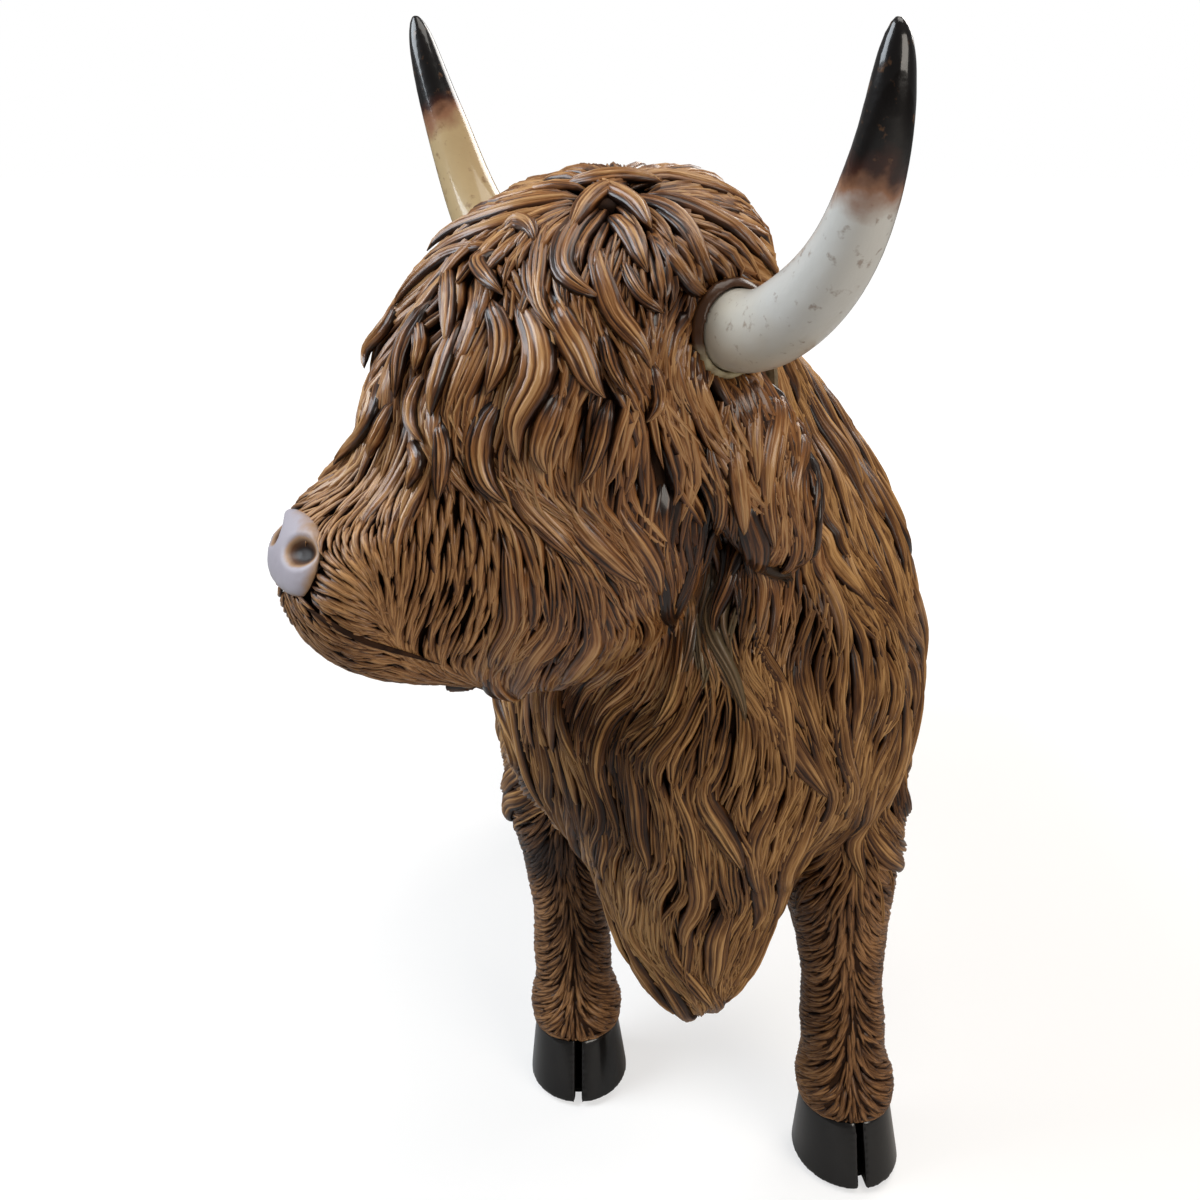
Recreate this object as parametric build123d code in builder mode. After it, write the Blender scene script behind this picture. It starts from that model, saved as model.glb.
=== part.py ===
from build123d import *
import math
import os

os.makedirs("parts", exist_ok=True)

# A standing long haired cow in cast resin. It faces minus Y, its left side is plus X, and its
# head is turned to its own right. The origin is the point of the ground below the middle of its
# overall box, and because the head reaches out to the right, the spine lies to the left of it.
# The castings are the body, the head, two horns, two ears, the tail and four legs with their
# hooves. Steel pins and rods join them, and filler and glue close the joints.

# Barrel of the body, as it is cast, and how far its middle plane lies to the left of the origin
spine_aside = 19.4
chest_reach = 141
rump_reach = 171
barrel_width = 134
belly_height = 84
withers_height = 250
cast_wall = 9

# Slices of the barrel from rump to chest: place along it, half width, underside and top line
barrel_slice_shares = (
    (0, 0.20, 0.46, 0.77),
    (0.035, 0.36, 0.27, 0.88),
    (0.10, 0.44, 0.13, 0.93),
    (0.21, 0.475, 0.06, 0.945),
    (0.40, 0.49, 0.02, 0.945),
    (0.60, 0.50, 0, 0.96),
    (0.73, 0.49, 0, 0.97),
    (0.84, 0.45, 0.03, 0.93),
    (0.925, 0.36, 0.10, 0.88),
    (0.98, 0.22, 0.22, 0.76),
)
# Left half of a slice, from its top point down: half width and half height
barrel_outline_shares = (
    (0, 1),
    (0.41, 0.84),
    (0.66, 0.60),
    (0.86, 0.33),
    (0.985, -0.04),
    (1, -0.35),
    (0.86, -0.69),
    (0.50, -0.91),
    (0, -1),
)
hollow_rear_share = 0.10
hollow_front_share = 0.73
# Main locks of the coat, which hang down the barrel, the brisket and the head
barrel_lock_spacing = 18
barrel_lock_relief = 1.6
barrel_lock_tiers = 1.5
brisket_lock_count = 11
brisket_lock_relief = 1.6
head_lock_count = 15
head_lock_relief = 3

# Brisket, the pointed apron of chest hair
brisket_tip_height = 63
brisket_top_height = 205
brisket_width = 92
brisket_depth = 90
brisket_reach = 147
brisket_shift = -6
# Slices of the brisket from tip to top: height, half width, half depth, gap behind the reach
brisket_slice_shares = (
    (0, 0.05, 0.06, 0.20),
    (0.08, 0.18, 0.18, 0.14),
    (0.20, 0.26, 0.28, 0.10),
    (0.37, 0.37, 0.38, 0.05),
    (0.62, 0.46, 0.48, 0),
    (1, 0.44, 0.44, 0.06),
)

# Head, set by the point midway between the horn roots
head_ahead = 114.4
head_aside = -27.4
head_height = 261.2
head_turn = 55
head_roll = 3.5
crown_rise = 28
jaw_drop = 92
face_reach = 89.5
nape_reach = 30
head_width = 86
# Slices of the head from jaw to crown: height, nape, face, half width, how far it is a muzzle
head_slice_shares = (
    (0, -0.1, 0.53, 0.30, 0),
    (0.066, 0.2, 0.72, 0.56, 0.4),
    (0.148, 0.5, 0.92, 0.76, 1),
    (0.262, 0.8, 0.985, 0.90, 1),
    (0.377, 0.9, 0.94, 0.96, 1),
    (0.451, 1, 0.81, 0.98, 0.7),
    (0.557, 1, 0.72, 1, 0.3),
    (0.689, 1, 0.65, 1, 0),
    (0.82, 1.05, 0.53, 0.96, 0),
    (0.926, 1, 0.36, 0.74, 0),
    (1, 0.7, 0.14, 0.30, 0),
)
# Left half of a slice, from nape to face: place along it and half width
crown_outline_shares = (
    (0, 0),
    (0.06, 0.50),
    (0.25, 0.93),
    (0.50, 1),
    (0.72, 0.88),
    (0.88, 0.62),
    (0.97, 0.32),
    (1, 0),
)
muzzle_outline_shares = (
    (0, 0),
    (0.05, 0.55),
    (0.22, 0.95),
    (0.42, 1),
    (0.62, 0.80),
    (0.80, 0.57),
    (0.95, 0.46),
    (1, 0),
)
head_core_radius = 20
head_core_drop = 22
head_core_ahead = 16
core_vent_radius = 7

# Neck, and the flat joint between neck and head
joint_turn = 43
joint_slope = 22
joint_behind = 8.5
joint_aside = -3
joint_drop = 38
neck_width = 82
neck_height = 104
neck_root_height = 186
neck_root_ahead = 55
neck_root_width_share = 1.26
neck_root_height_share = 1.04
neck_mid_width_share = 1.05
neck_mid_height_share = 1
spigot_radius = 19
spigot_length = 12
neck_pin_radius = 2.5
neck_pin_length = 28
neck_pin_spacing = 62
putty_thickness = 1.6
putty_band = 4
putty_ridge = 0.5

# Clearances shared by all joints, and how far a cut runs past the face that it starts from
slip_fit = 0.2
overrun = 12

# Horns, as places from the middle of the head: to the side, up and ahead, with the thickness
horn_span = 177
horn_rise = 62
horn_lead = 8
horn_root_diameter = 17.4
horn_left_bow = 3.5
horn_right_bow = -3.5
# Shares of the half span, of the rise, of the lead and of the root diameter
horn_path_shares = (
    (0.465, 0, 0, 1),
    (0.57, 0.02, 0.03, 1),
    (0.67, 0.10, 0.12, 0.96),
    (0.765, 0.225, 0.25, 0.88),
    (0.84, 0.375, 0.40, 0.78),
    (0.895, 0.535, 0.58, 0.69),
    (0.94, 0.695, 0.76, 0.58),
    (0.972, 0.85, 0.90, 0.45),
    (0.988, 0.945, 0.96, 0.30),
    (0.995, 1, 1, 0.09),
)
horn_root_depth = 12
horn_root_slope = 4
horn_pin_radius = 2
horn_pin_length = 30
glue_gap = 0.9
glue_lip = 2.4
glue_lip_height = 3
glue_lip_bevel = 1.6

# Ears, which hang below and behind the horns
ear_root_aside = 40
ear_root_drop = 13
ear_root_behind = 0
ear_length = 50
ear_width = 32
ear_thickness = 13
ear_splay = 10
ear_left_sweep = 26
ear_right_sweep = -8
ear_peg_radius = 4.5
ear_peg_length = 9
ear_peg_drop = 7
# Slices of an ear from root to tip: place along it, half width and half thickness
ear_slice_shares = (
    (0, 0.28, 0.46),
    (0.25, 0.42, 0.50),
    (0.50, 0.50, 0.48),
    (0.75, 0.40, 0.38),
    (1, 0.08, 0.12),
)

# Legs, which end at a flat joint below the body
leg_joint_height = 88
pad_thickness = 1.5
pad_width = 19
pad_length = 23
hoof_width = 29
hoof_length = 34
hoof_height = 22
hoof_top_share = 0.9
cleft_width = 1.8
cleft_length = 19
cannon_width = 23.6
rod_radius = 2.5
rod_length = 72
rod_below_joint = 40
rod_boss_radius = 9

front_left_aside = 44
front_left_ahead = 112
front_left_toe_out = 8
front_right_aside = -39
front_right_ahead = 75
hind_left_aside = 44
hind_left_inset = 54
hind_right_aside = -44
hind_right_inset = 78
front_left_lean_in = -4
front_right_lean_in = -5
hind_lean_in = 0
front_lean_back = 20
hind_hock_back = 16

# Slices of a front leg from hoof to body: height as a share of the joint height, then half width
# and half depth as shares of the cannon width, and the lean back as a share of the whole lean
front_slice_shares = (
    (0.24, 0.60, 0.66, 0.14),
    (0.31, 0.635, 0.68, 0.20),
    (0.40, 0.51, 0.58, 0.33),
    (0.48, 0.54, 0.60, 0.42),
    (0.64, 0.495, 0.55, 0.56),
    (0.85, 0.60, 0.64, 0.78),
    (1, 0.73, 0.84, 1),
    (1.31, 0.86, 1.12, 1.45),
    (1.70, 0.88, 1.25, 1.75),
)
hind_slice_shares = (
    (0.24, 0.58, 0.66, 0.15),
    (0.31, 0.62, 0.68, 0.25),
    (0.40, 0.50, 0.58, 0.45),
    (0.48, 0.54, 0.60, 0.55),
    (0.64, 0.49, 0.58, 0.75),
    (0.85, 0.58, 0.72, 1),
    (1, 0.72, 0.98, 0.85),
    (1.31, 0.92, 1.45, 0.05),
    (1.70, 0.90, 1.60, -0.3),
)
# Both kinds of leg meet the body at the slice whose height is the whole joint height
leg_joint_slice = [slice_shares[0] for slice_shares in front_slice_shares].index(1)

# Tail, which is pinned to the flat of the rump
tail_top_height = 216
tail_length = 168
tail_width = 28
tail_depth = 24
tail_behind = 10
tail_slice_shares = (
    (0, 0.20, 0.22, 0.20),
    (0.06, 0.28, 0.30, 0.30),
    (0.20, 0.30, 0.33, 0.45),
    (0.45, 0.28, 0.33, 0.80),
    (0.62, 0.36, 0.38, 1),
    (0.80, 0.50, 0.50, 1.10),
    (0.92, 0.34, 0.36, 1.05),
    (1, 0.08, 0.10, 1),
)
tail_pin_radius = 2
tail_pin_length = 18
tail_pin_drop = 14

# Plug of the casting hole in the belly
plug_behind = 35
plug_radius = 12
plug_thickness = 7
plug_lift = 1.5


def save(piece, name):
    """Label a finished piece and write it to its own file."""
    piece.part.label = name
    export_step(piece.part, f"parts/{name}.step")


def unit(direction):
    """The direction at a length of one."""
    return direction.normalized()


def mirrored_outline(points):
    """A closed outline from the points of its left half, first and last on the middle line."""
    return list(points) + [(-x, y) for x, y in reversed(points[1:-1])]


def barrel_place(share):
    """How far ahead of the origin a share of the barrel lies."""
    return share * (rump_reach + chest_reach) - rump_reach


def slice_at(slices, along):
    """The slice of the barrel at a place along it, between the two slices next to it."""
    for before, after in zip(slices, slices[1:]):
        if along <= after[0]:
            break
    part = (along - before[0]) / (after[0] - before[0])
    return [first + (second - first) * part for first, second in zip(before, after)]


def carved_slices(slices):
    """Slices of the barrel at even steps, two to a lock."""
    first, last = slices[0][0], slices[-1][0]
    count = round((rump_reach + chest_reach) / barrel_lock_spacing) * 2
    return [slice_at(slices, first + (last - first) * step / count) for step in range(count + 1)]


def fluted(outline, count, relief):
    """Points of a closed outline that rises and falls once for each of a count of locks."""
    smooth = Spline(*outline, periodic=True, mode=Mode.PRIVATE)
    points = []
    for step in range(count * 2):
        place = smooth @ (step / count / 2)
        outwards = (smooth % (step / count / 2)).cross(Vector(0, 0, 1))
        rise = relief / 2 * math.cos(math.pi * step)
        points.append((place.X + outwards.X * rise, place.Y + outwards.Y * rise))
    return points


def barrel_sections(slices, inset, relief=0):
    """Slices of the barrel, each drawn in by the inset, with locks that rise and dip in turns."""
    depth = withers_height - belly_height
    sections = []
    for step, (along, width, underside, top_line) in enumerate(slices):
        half_width = width * barrel_width - inset
        low = belly_height + underside * depth + inset
        high = belly_height + top_line * depth - inset
        middle = (low + high) / 2
        half_height = (high - low) / 2
        half = []
        for x, z in barrel_outline_shares:
            rise = relief / 2 * math.cos(math.pi * step) * math.cos(math.pi * barrel_lock_tiers * z)
            half.append((x * (half_width + rise), middle + z * (half_height + rise)))
        station = Plane(
            origin=(spine_aside, -barrel_place(along), 0), x_dir=(1, 0, 0), z_dir=(0, -1, 0)
        )
        with BuildSketch(station) as section:
            with BuildLine():
                Spline(*mirrored_outline(half), periodic=True)
            make_face()
        sections.append(section.sketch)
    return sections


def ellipses(sizes):
    """One ellipse on each plane, from its half width and half depth."""
    sections = []
    for plane, half_width, half_depth in sizes:
        with BuildSketch(plane) as section:
            Ellipse(half_width, half_depth)
        sections.append(section.sketch)
    return sections


# Frames of the head and of the neck joint
turn = math.radians(head_turn)
roll = math.radians(head_roll)
head_ahead_dir = Vector(-math.sin(turn), -math.cos(turn), 0)
level_left_dir = Vector(math.cos(turn), -math.sin(turn), 0)
head_up_dir = Vector(0, 0, 1) * math.cos(roll) + level_left_dir * math.sin(roll)
head_left_dir = level_left_dir * math.cos(roll) - Vector(0, 0, 1) * math.sin(roll)
head_plane = Plane(
    origin=(spine_aside + head_aside, -head_ahead, head_height),
    x_dir=head_ahead_dir,
    z_dir=head_up_dir,
)
joint_turn_angle = math.radians(joint_turn)
joint_slope_angle = math.radians(joint_slope)
joint_out_dir = Vector(
    -math.sin(joint_turn_angle) * math.cos(joint_slope_angle),
    -math.cos(joint_turn_angle) * math.cos(joint_slope_angle),
    math.sin(joint_slope_angle),
)
joint_left_dir = Vector(math.cos(joint_turn_angle), -math.sin(joint_turn_angle), 0)
joint_center = head_plane.from_local_coords(Vector(-joint_behind, joint_aside, -joint_drop))
joint_plane = Plane(origin=joint_center, x_dir=joint_left_dir, z_dir=joint_out_dir)


def leg_slice_centers(aside, ahead, lean_in, lean_back, slices):
    """Centres of the slices of a leg, as points in space."""
    centers = []
    for height, _, _, lean in slices:
        x = spine_aside + aside + lean_in * min(lean, 1)
        y = lean_back * lean - ahead
        centers.append(Vector(x, y, height * leg_joint_height))
    return centers


def leg_sections(centers, slices):
    """Level ellipses of a leg, each with its plane and half sizes."""
    sections = []
    for center, (_, width, depth, _) in zip(centers, slices):
        plane = Plane(origin=center, x_dir=(1, 0, 0), z_dir=(0, 0, 1))
        sections.append((plane, width * cannon_width, depth * cannon_width))
    return sections


legs = {}
for leg_name, aside, ahead, toe_out, lean_in, lean_back, slices in (
    ("front_left", front_left_aside, front_left_ahead, front_left_toe_out,
     front_left_lean_in, front_lean_back, front_slice_shares),
    ("front_right", front_right_aside, front_right_ahead, 0,
     front_right_lean_in, front_lean_back, front_slice_shares),
    ("hind_left", hind_left_aside, hind_left_inset - rump_reach, 0,
     hind_lean_in, hind_hock_back, hind_slice_shares),
    ("hind_right", hind_right_aside, hind_right_inset - rump_reach, 0,
     hind_lean_in, hind_hock_back, hind_slice_shares),
):
    centers = leg_slice_centers(aside, ahead, lean_in, lean_back, slices)
    rod_dir = unit(centers[leg_joint_slice + 1] - centers[leg_joint_slice - 2])
    legs[leg_name] = {
        "hoof": Vector(spine_aside + aside, -ahead, 0),
        "toe_out": toe_out,
        "sections": leg_sections(centers, slices),
        "rod_plane": Plane(origin=centers[leg_joint_slice], x_dir=(1, 0, 0), z_dir=rod_dir),
    }


def horn_points(side):
    """Middle line of a horn on the left, side 1, or on the right, side -1."""
    points = []
    bow = horn_left_bow if side > 0 else horn_right_bow
    for aside, up, ahead, _ in horn_path_shares:
        outwards = aside * horn_span / 2 + bow * 4 * up * (1 - up)
        local = Vector(ahead * horn_lead, side * outwards, up * horn_rise)
        points.append(head_plane.from_local_coords(local))
    return points


def horn_planes(side):
    """Planes square to the horn at its points, the first one square to its root."""
    points = horn_points(side)
    slope = math.radians(horn_root_slope)
    root_dir = head_left_dir * side * math.cos(slope) + head_up_dir * math.sin(slope)
    planes = [Plane(origin=points[0], x_dir=head_ahead_dir, z_dir=root_dir)]
    for before, point, after in zip(points, points[1:], points[2:]):
        planes.append(Plane(origin=point, x_dir=head_ahead_dir, z_dir=unit(after - before)))
    tip_dir = unit(points[-1] - points[-2])
    planes.append(Plane(origin=points[-1], x_dir=head_ahead_dir, z_dir=tip_dir))
    return planes


def ear_root_plane(side):
    """Plane square to an ear at its root, facing from root to tip."""
    splay = math.radians(ear_splay)
    sweep = math.radians(ear_left_sweep if side > 0 else ear_right_sweep)
    root_dir = (
        head_left_dir * side * math.sin(splay)
        - head_ahead_dir * math.sin(sweep) * math.cos(splay)
        - head_up_dir * math.cos(sweep) * math.cos(splay)
    )
    root = Vector(-ear_root_behind, side * ear_root_aside, -ear_root_drop)
    origin = head_plane.from_local_coords(root)
    return Plane(origin=origin, x_dir=head_ahead_dir, z_dir=root_dir)


def ear_peg_plane(side):
    """Plane at the head end of an ear's peg, facing outwards along it."""
    root = ear_root_plane(side)
    peg_middle = root.origin + root.z_dir * ear_peg_drop
    peg_end = peg_middle - head_left_dir * side * ear_peg_length
    return Plane(origin=peg_end, x_dir=head_ahead_dir, z_dir=head_left_dir * side)


both_sides = (("left", 1), ("right", -1))
horn_root_radius = horn_root_diameter / 2
tail_pin_plane = Plane(
    origin=(spine_aside, rump_reach, tail_top_height - tail_pin_drop),
    x_dir=(1, 0, 0),
    z_dir=(0, -1, 0),
)
plug_plane = Plane(origin=(spine_aside, plug_behind, belly_height + plug_lift), z_dir=(0, 0, 1))

# Ground pads of felt under the hooves
for leg_name, leg in legs.items():
    pad_plane = Plane(origin=leg["hoof"], z_dir=(0, 0, 1)).rotated((0, 0, leg["toe_out"]))
    with BuildPart() as felt_pad:
        with BuildSketch(pad_plane):
            Ellipse(pad_width / 2, pad_length / 2)
        extrude(amount=pad_thickness)
    save(felt_pad, f"felt_pad_{leg_name}")

# Leg castings, each with its cloven hoof and the bore for its rod
for leg_name, leg in legs.items():
    hoof_plane = Plane(origin=leg["hoof"], z_dir=(0, 0, 1)).rotated((0, 0, leg["toe_out"]))
    with BuildPart() as leg_casting:
        with BuildSketch(hoof_plane.offset(pad_thickness)):
            Ellipse(hoof_width / 2, hoof_length / 2)
        shank = leg["sections"][: leg_joint_slice + 1]
        coronet_plane, _, coronet_depth = shank[0]
        with BuildSketch(coronet_plane):
            Ellipse(hoof_width / 2 * hoof_top_share, coronet_depth * hoof_top_share)
        loft(ruled=True)
        loft(ellipses(shank), ruled=True)
        with BuildSketch(hoof_plane):
            with Locations((0, -hoof_length / 2)):
                Rectangle(cleft_width, cleft_length * 2)
        extrude(amount=hoof_height, mode=Mode.SUBTRACT)
        with BuildSketch(leg["rod_plane"].offset(overrun)):
            Circle(rod_radius + slip_fit)
        extrude(amount=-rod_below_joint - overrun, mode=Mode.SUBTRACT)
    save(leg_casting, f"leg_{leg_name}")

# Steel rods through the leg joints
for leg_name, leg in legs.items():
    with BuildPart() as leg_rod:
        with BuildSketch(leg["rod_plane"].offset(-rod_below_joint)):
            Circle(rod_radius)
        extrude(amount=rod_length)
    save(leg_rod, f"leg_rod_{leg_name}")

# Body casting: barrel, neck, brisket and the stubs of the legs, hollow inside
neck_root_plane = Plane(
    origin=(spine_aside, -neck_root_ahead, neck_root_height), x_dir=(1, 0, 0), z_dir=(0, -1, 0)
)
mid_origin = (neck_root_plane.origin + joint_plane.origin) * 0.5
mid_dir = unit(neck_root_plane.z_dir + joint_plane.z_dir)
mid_left_dir = unit(neck_root_plane.x_dir + joint_plane.x_dir)
neck_mid_plane = Plane(origin=mid_origin, x_dir=mid_left_dir, z_dir=mid_dir)

with BuildPart() as body_casting:
    loft(barrel_sections(carved_slices(barrel_slice_shares), 0, barrel_lock_relief), ruled=True)
    loft(ellipses((
        (neck_root_plane, neck_width / 2 * neck_root_width_share,
         neck_height / 2 * neck_root_height_share),
        (neck_mid_plane, neck_width / 2 * neck_mid_width_share,
         neck_height / 2 * neck_mid_height_share),
        (joint_plane, neck_width / 2, neck_height / 2),
    )))
    for height, width, depth, behind in brisket_slice_shares:
        slice_height = brisket_tip_height + height * (brisket_top_height - brisket_tip_height)
        half_depth = depth * brisket_depth
        ahead = brisket_reach - behind * brisket_depth - half_depth
        rim = []
        for step in range(brisket_lock_count * 2):
            angle = math.pi * step / brisket_lock_count
            rise = min(depth, width) * brisket_lock_relief * math.cos(math.pi * step)
            rim.append((
                spine_aside + brisket_shift + (width * brisket_width + rise) * math.sin(angle),
                (half_depth + rise) * math.cos(angle) - ahead,
            ))
        with BuildSketch(Plane.XY.offset(slice_height)):
            with BuildLine():
                Spline(*rim, periodic=True)
            make_face()
    loft()
    for leg in legs.values():
        loft(ellipses(leg["sections"][: leg_joint_slice + 1]), ruled=True, mode=Mode.SUBTRACT)
        loft(ellipses(leg["sections"][leg_joint_slice:]), ruled=True)
    hollow = []
    for slice_shares in barrel_slice_shares:
        if hollow_rear_share <= slice_shares[0] <= hollow_front_share:
            hollow.append(slice_shares)
    loft(barrel_sections(hollow, cast_wall), mode=Mode.SUBTRACT)
    for leg in legs.values():
        with BuildSketch(leg["rod_plane"].offset(rod_boss_radius)):
            Circle(rod_boss_radius)
        extrude(amount=rod_length - rod_below_joint)
    for leg in legs.values():
        with BuildSketch(leg["rod_plane"].offset(-rod_below_joint)):
            Circle(rod_radius + slip_fit)
        extrude(amount=rod_length + slip_fit, mode=Mode.SUBTRACT)
    split(bisect_by=joint_plane, keep=Keep.BOTTOM)
    with BuildSketch(joint_plane):
        Circle(spigot_radius + slip_fit)
    extrude(amount=-(spigot_length + slip_fit), mode=Mode.SUBTRACT)
    with BuildSketch(joint_plane):
        Ellipse(neck_width / 2 + putty_ridge, neck_height / 2 + putty_ridge)
        Ellipse(neck_width / 2 - putty_band, neck_height / 2 - putty_band, mode=Mode.SUBTRACT)
    extrude(amount=-putty_thickness, mode=Mode.SUBTRACT)
    with BuildSketch(joint_plane):
        with Locations((0, neck_pin_spacing / 2), (0, -neck_pin_spacing / 2)):
            Circle(neck_pin_radius + slip_fit)
    extrude(amount=-neck_pin_length / 2, mode=Mode.SUBTRACT)
    with BuildSketch(tail_pin_plane):
        Circle(tail_pin_radius + slip_fit)
    extrude(amount=tail_pin_length / 2, mode=Mode.SUBTRACT)
    with BuildSketch(plug_plane):
        Circle(plug_radius + slip_fit)
    extrude(amount=overrun, both=True, mode=Mode.SUBTRACT)
save(body_casting, "body_casting")

# Head casting, with its spigot, its hollow core and the sockets for horns, ears and pins
with BuildPart() as head_casting:
    for height, nape, face, width, muzzle in head_slice_shares:
        back = -nape * nape_reach
        front = face * face_reach
        half_width = width * head_width / 2
        half = []
        for crown_point, muzzle_point in zip(crown_outline_shares, muzzle_outline_shares):
            along = crown_point[0] + (muzzle_point[0] - crown_point[0]) * muzzle
            side = crown_point[1] + (muzzle_point[1] - crown_point[1]) * muzzle
            half.append((back + along * (front - back), side * half_width))
        outline = half + [(x, -y) for x, y in reversed(half[1:-1])]
        relief = head_lock_relief * (1 - muzzle) * width
        locks = fluted(outline, head_lock_count, relief)
        with BuildSketch(head_plane.offset(height * (crown_rise + jaw_drop) - jaw_drop)):
            with BuildLine():
                Spline(*locks, periodic=True)
            make_face()
    loft()
    split(bisect_by=joint_plane, keep=Keep.TOP)
    with BuildSketch(joint_plane):
        Circle(spigot_radius)
    extrude(amount=-spigot_length)
    core = Vector(head_core_ahead, 0, -head_core_drop)
    core_center = head_plane.from_local_coords(core)
    with Locations(core_center):
        Sphere(head_core_radius, mode=Mode.SUBTRACT)
    core_reach = (core_center - joint_center).dot(joint_out_dir)
    with BuildSketch(joint_plane.offset(-spigot_length)):
        Circle(core_vent_radius)
    extrude(amount=spigot_length + core_reach, mode=Mode.SUBTRACT)
    with BuildSketch(joint_plane):
        with Locations((0, neck_pin_spacing / 2), (0, -neck_pin_spacing / 2)):
            Circle(neck_pin_radius + slip_fit)
    extrude(amount=neck_pin_length / 2, mode=Mode.SUBTRACT)
    for _, side in both_sides:
        root_plane = horn_planes(side)[0]
        with BuildSketch(root_plane):
            Circle(horn_root_radius + glue_lip)
        extrude(amount=overrun, mode=Mode.SUBTRACT)
        with BuildSketch(root_plane):
            Circle(horn_root_radius + glue_gap)
        extrude(amount=-horn_root_depth, mode=Mode.SUBTRACT)
        with BuildSketch(root_plane.offset(-horn_root_depth)):
            Circle(horn_pin_radius + slip_fit)
        extrude(amount=-horn_pin_length / 2, mode=Mode.SUBTRACT)
        with BuildSketch(ear_peg_plane(side)):
            Circle(ear_peg_radius + slip_fit)
        extrude(amount=ear_peg_length + overrun, mode=Mode.SUBTRACT)
save(head_casting, "head_casting")

# Steel pins that line up the neck joint, and the ring of filler in its seam
for pin_name, place in (("upper", neck_pin_spacing / 2), ("lower", -neck_pin_spacing / 2)):
    with BuildPart() as neck_pin:
        with BuildSketch(joint_plane.offset(-neck_pin_length / 2)):
            with Locations((0, place)):
                Circle(neck_pin_radius)
        extrude(amount=neck_pin_length)
    save(neck_pin, f"neck_pin_{pin_name}")

with BuildPart() as neck_seam_putty:
    with BuildSketch(joint_plane):
        Ellipse(neck_width / 2 + putty_ridge, neck_height / 2 + putty_ridge)
        Ellipse(neck_width / 2 - putty_band, neck_height / 2 - putty_band, mode=Mode.SUBTRACT)
    extrude(amount=-putty_thickness)
save(neck_seam_putty, "neck_seam_putty")

# Horns, the pins that hold them and the glue that beds them in the head
for side_name, side in both_sides:
    planes = horn_planes(side)
    root_plane = planes[0]
    horn_sizes = []
    clear_sizes = []
    for plane, (_, _, _, thickness) in zip(planes, horn_path_shares):
        radius = thickness * horn_root_radius
        horn_sizes.append((plane, radius, radius))
        clear_sizes.append((plane, radius + slip_fit, radius + slip_fit))
    with BuildPart() as horn:
        loft(ellipses(horn_sizes))
        with BuildSketch(root_plane):
            Circle(horn_root_radius)
        extrude(amount=-horn_root_depth)
        with BuildSketch(root_plane.offset(-horn_root_depth)):
            Circle(horn_pin_radius + slip_fit)
        extrude(amount=horn_pin_length / 2, mode=Mode.SUBTRACT)
    save(horn, f"horn_{side_name}")

    with BuildPart() as horn_pin:
        with BuildSketch(root_plane.offset(-horn_root_depth - horn_pin_length / 2)):
            Circle(horn_pin_radius)
        extrude(amount=horn_pin_length)
    save(horn_pin, f"horn_pin_{side_name}")

    with BuildPart() as horn_glue:
        with BuildSketch(root_plane):
            Circle(horn_root_radius + glue_lip)
            Circle(horn_root_radius, mode=Mode.SUBTRACT)
        extrude(amount=glue_lip_height)
        lip_edges = horn_glue.edges().filter_by(GeomType.CIRCLE).group_by(SortBy.RADIUS)[-1]
        outer_edge = lip_edges.sort_by(Axis(root_plane.origin, root_plane.z_dir))[-1]
        chamfer(outer_edge, glue_lip_bevel)
        loft(ellipses(clear_sizes), mode=Mode.SUBTRACT)
        with BuildSketch(root_plane):
            Circle(horn_root_radius + glue_gap)
            Circle(horn_root_radius, mode=Mode.SUBTRACT)
        extrude(amount=-horn_root_depth)
    save(horn_glue, f"horn_glue_{side_name}")

# Ears, each a leaf that stops at the head and neck, with a peg into the head
for side_name, side in both_sides:
    root = ear_root_plane(side)
    ear_sizes = []
    for along, width, thickness in ear_slice_shares:
        plane = root.offset(along * ear_length)
        ear_sizes.append((plane, width * ear_width, thickness * ear_thickness))
    with BuildPart() as ear:
        loft(ellipses(ear_sizes))
        add(head_casting.part, mode=Mode.SUBTRACT)
        add(body_casting.part, mode=Mode.SUBTRACT)
        add(neck_seam_putty.part, mode=Mode.SUBTRACT)
        with BuildSketch(ear_peg_plane(side)):
            Circle(ear_peg_radius)
        extrude(amount=ear_peg_length)
    save(ear, f"ear_{side_name}")

# Tail, and the pin that holds it to the rump
with BuildPart() as tail:
    tail_sizes = []
    for down, width, depth, behind in tail_slice_shares:
        y = rump_reach + behind * tail_behind
        origin = (spine_aside, y, tail_top_height - down * tail_length)
        plane = Plane(origin=origin, x_dir=(1, 0, 0), z_dir=(0, 0, 1))
        tail_sizes.append((plane, width * tail_width, depth * tail_depth))
    loft(ellipses(tail_sizes), ruled=True)
    split(bisect_by=Plane(origin=(0, rump_reach, 0), z_dir=(0, 1, 0)), keep=Keep.TOP)
    with BuildSketch(tail_pin_plane):
        Circle(tail_pin_radius + slip_fit)
    extrude(amount=-tail_pin_length / 2, mode=Mode.SUBTRACT)
save(tail, "tail")

with BuildPart() as tail_pin:
    with BuildSketch(tail_pin_plane):
        Circle(tail_pin_radius)
    extrude(amount=tail_pin_length / 2, both=True)
save(tail_pin, "tail_pin")

# Plug of the belly
with BuildPart() as belly_plug:
    with BuildSketch(plug_plane):
        Circle(plug_radius)
    extrude(amount=plug_thickness)
save(belly_plug, "belly_plug")
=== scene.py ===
# %% [markdown]
# # A long haired cow in cast resin
# The real figurine is a heavy resin casting. Its coat is carved into thousands of wavy strands,
# painted dark brown, dry brushed with golden brown so that only the ridges catch the light colour,
# and lacquered. The horns are ivory with black tips, the hooves are black and the nose is pearly.
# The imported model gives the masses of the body. This lesson dresses them with carved hair.

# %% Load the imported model
import bmesh
import bpy
import math
import numpy as np
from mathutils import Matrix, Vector
from mathutils.bvhtree import BVHTree
from mathutils.kdtree import KDTree


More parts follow.
